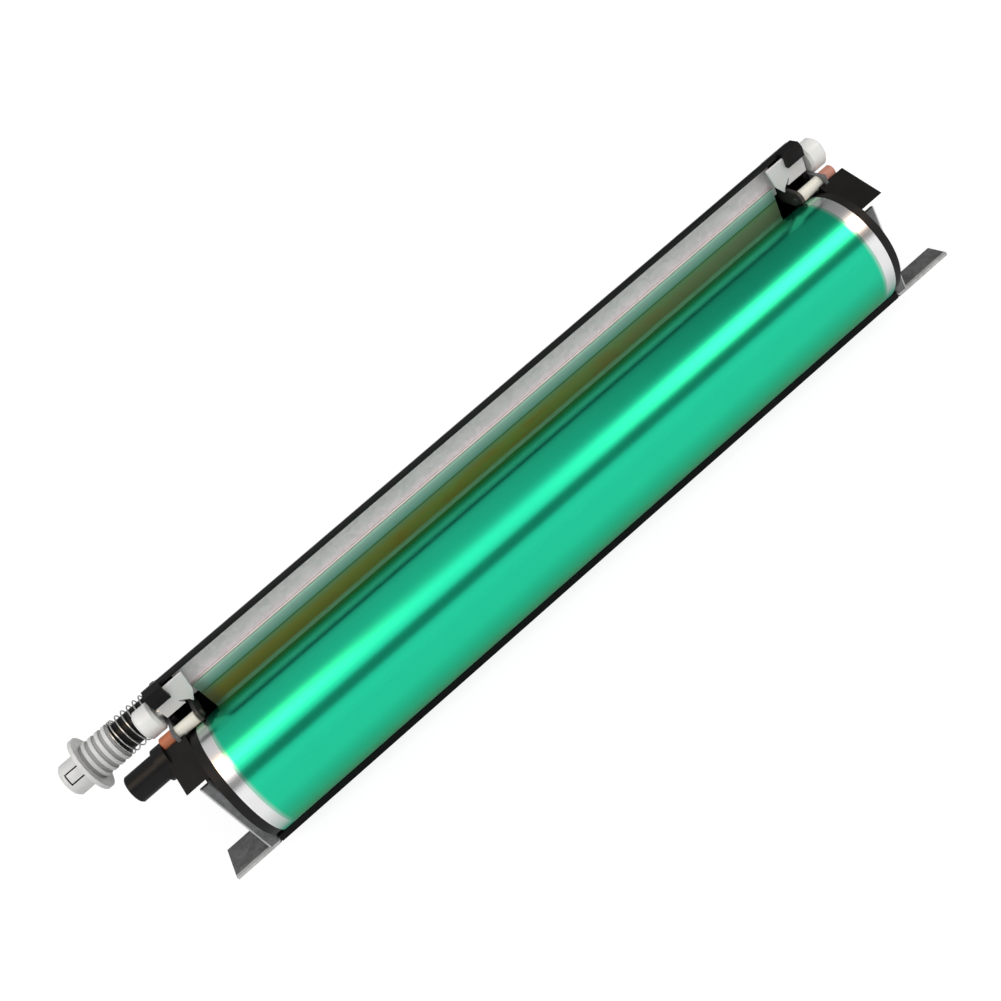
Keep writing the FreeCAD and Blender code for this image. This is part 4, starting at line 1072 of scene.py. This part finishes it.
@dataclass
class ShutterSpring(Assembly):
    """Round-wire compression spring that pushes the shutter sleeve over the outlet.

    The wire's size is its radius, and closed is the pitch of the turn at each end, counted in
    wire radii. Travel is how far the sleeve presses the spring together, and is not used.
    """

    wire: float = 0.36 * MM
    wire_sides: int = 10
    closed: float = 2.2
    turns: int = 7
    steps: int = 40
    travel: float = 12.0 * MM

    def build(self, nodes: Mapping[str, bpy.types.Object]) -> bpy.types.Object:
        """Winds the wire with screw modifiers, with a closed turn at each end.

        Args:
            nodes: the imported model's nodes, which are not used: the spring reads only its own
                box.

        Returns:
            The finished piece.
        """
        low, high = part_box("shutter_spring")
        radius = (high.z - low.z) / 2 - self.wire
        middle = (low + high) / 2
        whole = high.x - low.x
        dead = self.closed * self.wire
        live = whole - 2 * self.wire - 2 * dead
        start = low.x + self.wire + dead
        coils = []
        for first, length, turns in ((low.x + self.wire, dead, 1), (start, live, self.turns),
                                     (start + live, dead, 1)):
            bpy.ops.mesh.primitive_circle_add(
                vertices=self.wire_sides, radius=self.wire, location=(0, radius, 0))
            coil = Bench.settle(Bench.fresh("coil"))
            Bench.modify(coil, "SCREW", {
                "axis": "X", "angle": 2 * math.pi * turns, "screw_offset": length,
                "steps": self.steps * turns, "render_steps": self.steps * turns,
                "use_merge_vertices": True, "use_smooth_shade": True})
            coil.location = (first, middle.y, middle.z)
            coils.append(Bench.settle(coil))
        piece = Bench.join(coils, "shutter_spring_wound")
        Bench.repair(piece)
        Bench.cap(piece)
        bpy.ops.object.shade_smooth()
        Bench.dress(piece, STEEL)
        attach(piece, "frame")
        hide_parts("shutter_spring")
        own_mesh(piece)
        return piece


@dataclass
class Dressing:
    """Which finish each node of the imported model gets."""

    slots: Mapping[str, Finish]
    nodes: Mapping[str, Finish]

    def apply(self, model: Mapping[str, bpy.types.Object]) -> None:
        """Gives every node its finish, by its own name or else by its material slot.

        Args:
            model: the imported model's nodes.
        """
        for name, obj in sorted(model.items()):
            for slot in obj.material_slots:
                key = slot.material.name.split(".")[0]
                finish = self.nodes.get(name) or self.slots[key]
                slot.material = finish.material()
                LOG.info("%s is dressed in %s", name, finish.name)


class Ray(Enum):
    """Kinds of light ray that the studio tells apart, as a Light Path node names them."""

    CAMERA = "Is Camera Ray"
    GLOSSY = "Is Glossy Ray"
    TRANSMISSION = "Is Transmission Ray"


@dataclass(frozen=True)
class SoftBox:
    """A soft box over the front that points at the drum and isn't mirrored in anything.

    The elevation is measured from the front horizon over the top, in degrees.
    """

    name: str
    elevation: float
    distance: float
    width: float
    height: float
    radiance: float

    def build(self) -> None:
        """Hangs the soft box in its place and points it at the drum."""
        turn = math.radians(self.elevation)
        place = Vector((0, -math.cos(turn) * self.distance, math.sin(turn) * self.distance))
        bpy.ops.object.light_add(type="AREA", location=place)
        lamp = bpy.context.active_object
        lamp.name = self.name
        lamp.rotation_euler = (Vector() - place).to_track_quat("-Z", "Y").to_euler()
        lamp.data.shape = "RECTANGLE"
        lamp.data.size = self.width
        lamp.data.size_y = self.height
        lamp.data.energy = self.radiance * math.pi * self.width * self.height
        lamp.visible_glossy = False
        LOG.info("%s hangs at %.0f degrees", self.name, self.elevation)


@dataclass(frozen=True)
class WarmLamp:
    """A warm lamp in the surround, between four smooth edges.

    The first two edges are elevations, measured from the front horizon over the top, in
    degrees. The other two are the X part of the direction.
    """

    low: Pair
    high: Pair
    left: Pair
    right: Pair

    def mask(self, turn: Value, x: Value) -> Value:
        """How much of the lamp there is in a direction.

        Args:
            turn: the direction's elevation.
            x: the direction's X part.

        Returns:
            The share, between nought and one.
        """
        return turn.window(self.low, self.high) * x.window(self.left, self.right)


@dataclass
class Studio:
    """Plain pale floor, soft box, even surround and the camera.

    Each of the bands is an elevation of the surround, measured from the front horizon over the
    top in degrees, with its brightness. A colour ramp holds them as shares of the brightest.
    """

    floor_size: float = 8.0
    floor_gap: float = 0.05 * MM
    floor_tone: float = 0.80
    floor_glow: float = 0.86
    floor_shade: float = 0.22
    mirrored_glow: float = 0.22
    mirrored_shade: float = 0.95
    # A painted shadow on the floor in front of the object, which only mirrored rays see.
    mirrored_shadow_strength: float = 0.36
    mirrored_shadow_span: Pair = (-75.0 * MM, -15.0 * MM)
    camera_place: Triple = (-0.06727, -0.41707, 0.29204)
    camera_lens: float = 40.617
    camera_sensor: float = 36.0
    camera_tilt: float = -1.943
    camera_swing: float = 5.549
    camera_trim: float = -0.413
    camera_roll: float = 41.3
    view_elevation: float = 35.0
    brightest: float = 2.0
    bands: tuple[Pair, ...] = (
        (0.0, 1.15), (23.2, 1.15), (24.2, 0.20), (42.8, 0.20), (43.8, 1.30), (50.0, 1.50),
        (60.0, 1.75), (67.0, 1.68), (74.0, 1.15), (81.0, 0.84), (92.0, 0.74), (120.0, 0.70),
        (136.0, 0.50), (157.0, 0.28), (180.0, 0.25))
    right_dimming: float = 0.6
    right_dimmed: Pair = (0.0, 0.45)
    dimmed_above: Pair = (72.0, 86.0)
    warm_lamps: tuple[WarmLamp, ...] = (
        WarmLamp(low=(50.0, 66.0), high=(72.0, 90.0), left=(-0.45, -0.35), right=(-0.17, -0.05)),
        WarmLamp(low=(43.0, 52.0), high=(66.0, 76.0), left=(0.18, 0.36), right=(0.55, 0.65)))
    warm_colour: Colour = (4.4, 2.8, 1.4)
    soft_box: SoftBox = SoftBox(
        "wide_soft_box", elevation=62.0, distance=1.6, width=2.4, height=1.2, radiance=0.55)

    @staticmethod
    def glowing(graph: Graph, shade: float, glow: float) -> Value:
        """A matt grey shader that also glows by itself.

        Args:
            graph: the material's node tree.
            shade: how much light the grey throws back.
            glow: how bright it is by itself.

        Returns:
            The shader.
        """
        matt = graph.node("ShaderNodeBsdfDiffuse", {}, {"Color": (shade,) * 3})
        bright = graph.node("ShaderNodeEmission", {}, {"Color": FULL_LIGHT, "Strength": glow})
        return graph.node("ShaderNodeAddShader", {}, {0: matt, 1: bright})

    def lay_floor(self, height: float) -> None:
        """Lays the floor just under the feet, with a painted shadow in front of them that only
        mirrored rays see.

        Args:
            height: the lowest point of the object.
        """
        bpy.ops.mesh.primitive_plane_add(
            size=self.floor_size, location=(0, 0, height - self.floor_gap))
        floor = Bench.settle(Bench.fresh("floor"))
        material = bpy.data.materials.new("pale_floor")
        material.use_nodes = True
        graph = Graph(material.node_tree)
        path = graph.raw("ShaderNodeLightPath", {}, {})
        camera, glossy, through = (Value(graph, path.outputs[ray.value]) for ray in Ray)
        _, _, y, _ = graph.places()
        lit = graph.node("ShaderNodeBsdfDiffuse", {}, {"Color": (self.floor_tone,) * 3})
        dark = graph.node("ShaderNodeBsdfDiffuse", {}, {"Color": NO_LIGHT})
        # Mirrored rays see a painted shadow on the floor in front of the feet.
        mirrored = graph.mixed(y.step(*self.mirrored_shadow_span) * self.mirrored_shadow_strength,
                               self.glowing(graph, self.mirrored_shade, self.mirrored_glow), dark)
        shown = graph.mixed(glossy.maths("MAXIMUM", through), lit, mirrored)
        shown = graph.mixed(camera, shown, self.glowing(graph, self.floor_shade, self.floor_glow))
        graph.raw("ShaderNodeOutputMaterial", {}, {"Surface": shown})
        floor.data.materials.append(material)
        floor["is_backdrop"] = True

    def surround(self) -> None:
        """Lights from all round: a pale front, a dark gap, a long band overhead and a dim rear.

        The brightness follows the elevation, and the band is dimmer to the right. Two warm
        lamps near its ends show only where something mirrors them, and the camera itself sees
        plain white.
        """
        world = bpy.data.worlds.new("studio")
        bpy.context.scene.world = world
        world.use_nodes = True
        graph = Graph(world.node_tree)
        direction = graph.node("ShaderNodeTexCoord", {}, {}, "Generated")
        split = graph.raw("ShaderNodeSeparateXYZ", {}, {0: direction})
        x, y, z = (Value(graph, output) for output in split.outputs)
        turn = z.maths("ARCTAN2", y * -1.0) * (180.0 / math.pi)
        stops = [(degrees / 180.0, (level / self.brightest,) * 3) for degrees, level in self.bands]
        room = graph.node("ShaderNodeValToRGB", {"stops": stops}, {0: turn / 180.0})
        room = room * self.brightest
        far = turn.step(*self.dimmed_above) * x.step(*self.right_dimmed)
        room = room * (1.0 - far * self.right_dimming)
        path = graph.raw("ShaderNodeLightPath", {}, {})
        seen, glossy = (Value(graph, path.outputs[ray.value]) for ray in (Ray.CAMERA, Ray.GLOSSY))
        warm = sum(lamp.mask(turn, x) for lamp in self.warm_lamps) * glossy
        lamps = graph.blend(warm, NO_LIGHT, self.warm_colour)
        light = graph.node("ShaderNodeVectorMath", {"operation": "ADD"}, {0: room, 1: lamps})
        shown = graph.blend(seen, light, FULL_LIGHT)
        glow = graph.node("ShaderNodeBackground", {}, {"Color": shown})
        graph.raw("ShaderNodeOutputWorld", {}, {"Surface": glow})

    def set_camera(self) -> None:
        """Puts the camera where the photograph was taken from, rolled as its frame is."""
        bpy.ops.object.camera_add(location=self.camera_place)
        camera = bpy.context.active_object
        camera.name = "camera"
        camera.data.lens = self.camera_lens
        camera.data.sensor_width = self.camera_sensor
        rise = math.radians(self.view_elevation)
        to_camera = Matrix.Identity(3)
        for degrees, axis in ((self.camera_roll, "Z"), (self.camera_trim, "Z"),
                              (self.camera_swing, "Y"), (self.camera_tilt, "X")):
            to_camera = to_camera @ Matrix.Rotation(math.radians(degrees), 3, axis)
        to_level = Matrix((
            (1, 0, 0),
            (0, math.sin(rise), math.cos(rise)),
            (0, -math.cos(rise), math.sin(rise))))
        camera.rotation_euler = (to_camera @ to_level).transposed().to_euler()
        camera.data.clip_start = 0.01
        camera.data.clip_end = 50.0
        bpy.context.scene.camera = camera

    def build(self, lowest: float) -> None:
        """Sets up everything that isn't part of the object.

        Args:
            lowest: the object's lowest point.
        """
        self.lay_floor(lowest)
        self.surround()
        self.soft_box.build()
        self.set_camera()
        bpy.context.scene.view_settings.view_transform = "Standard"


def main() -> None:
    """Builds the pieces, dresses the model and sets up the studio."""
    logging.basicConfig(level=logging.INFO, format="%(message)s")
    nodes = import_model()["nodes"]
    cad_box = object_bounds()

    dressing = Dressing(
        slots={
            "drum_coating": COATING, "black_plastic": BLACK, "white_plastic": WHITE,
            "cream_plastic": CREAM, "orange_plastic": ORANGE, "zinc_sheet": ZINC, "steel": STEEL,
            "blade_urethane": URETHANE, "brush_fibre": PILE, "seal_film": FILM,
        },
        nodes={
            "blade_holder": HOLDER_ZINC, "rear_stay": END_ZINC,
            "end_plate_left": END_ZINC, "end_plate_right": RIGHT_ZINC,
            "blade_bracket": DARK_STEEL,
            "pivot_pin_left": DARK_STEEL, "pivot_pin_right": DARK_STEEL,
            "drum_flange_left": DEEP_BLACK, "drum_flange_right": DEEP_BLACK,
            "shutter_sleeve": SLEEVE_WHITE, "outlet_cap": CAP_WHITE,
            "pivot_bush_right": PALE_ORANGE,
            "seal_plate_left": PLATE_WHITE, "seal_plate_right": PLATE_WHITE,
        },
    )
    dressing.apply(nodes)

    for assembly in (ShutterSpring(), CrossHeadScrews("frame_screws", "frame"),
                     CrossHeadScrews("cover_screws", "frame")):
        piece = assembly.build(nodes)
        LOG.info("%s has %d faces", piece.name, len(piece.data.polygons))

    Studio().build(cad_box[0].z)


if __name__ == "__main__":
    main()
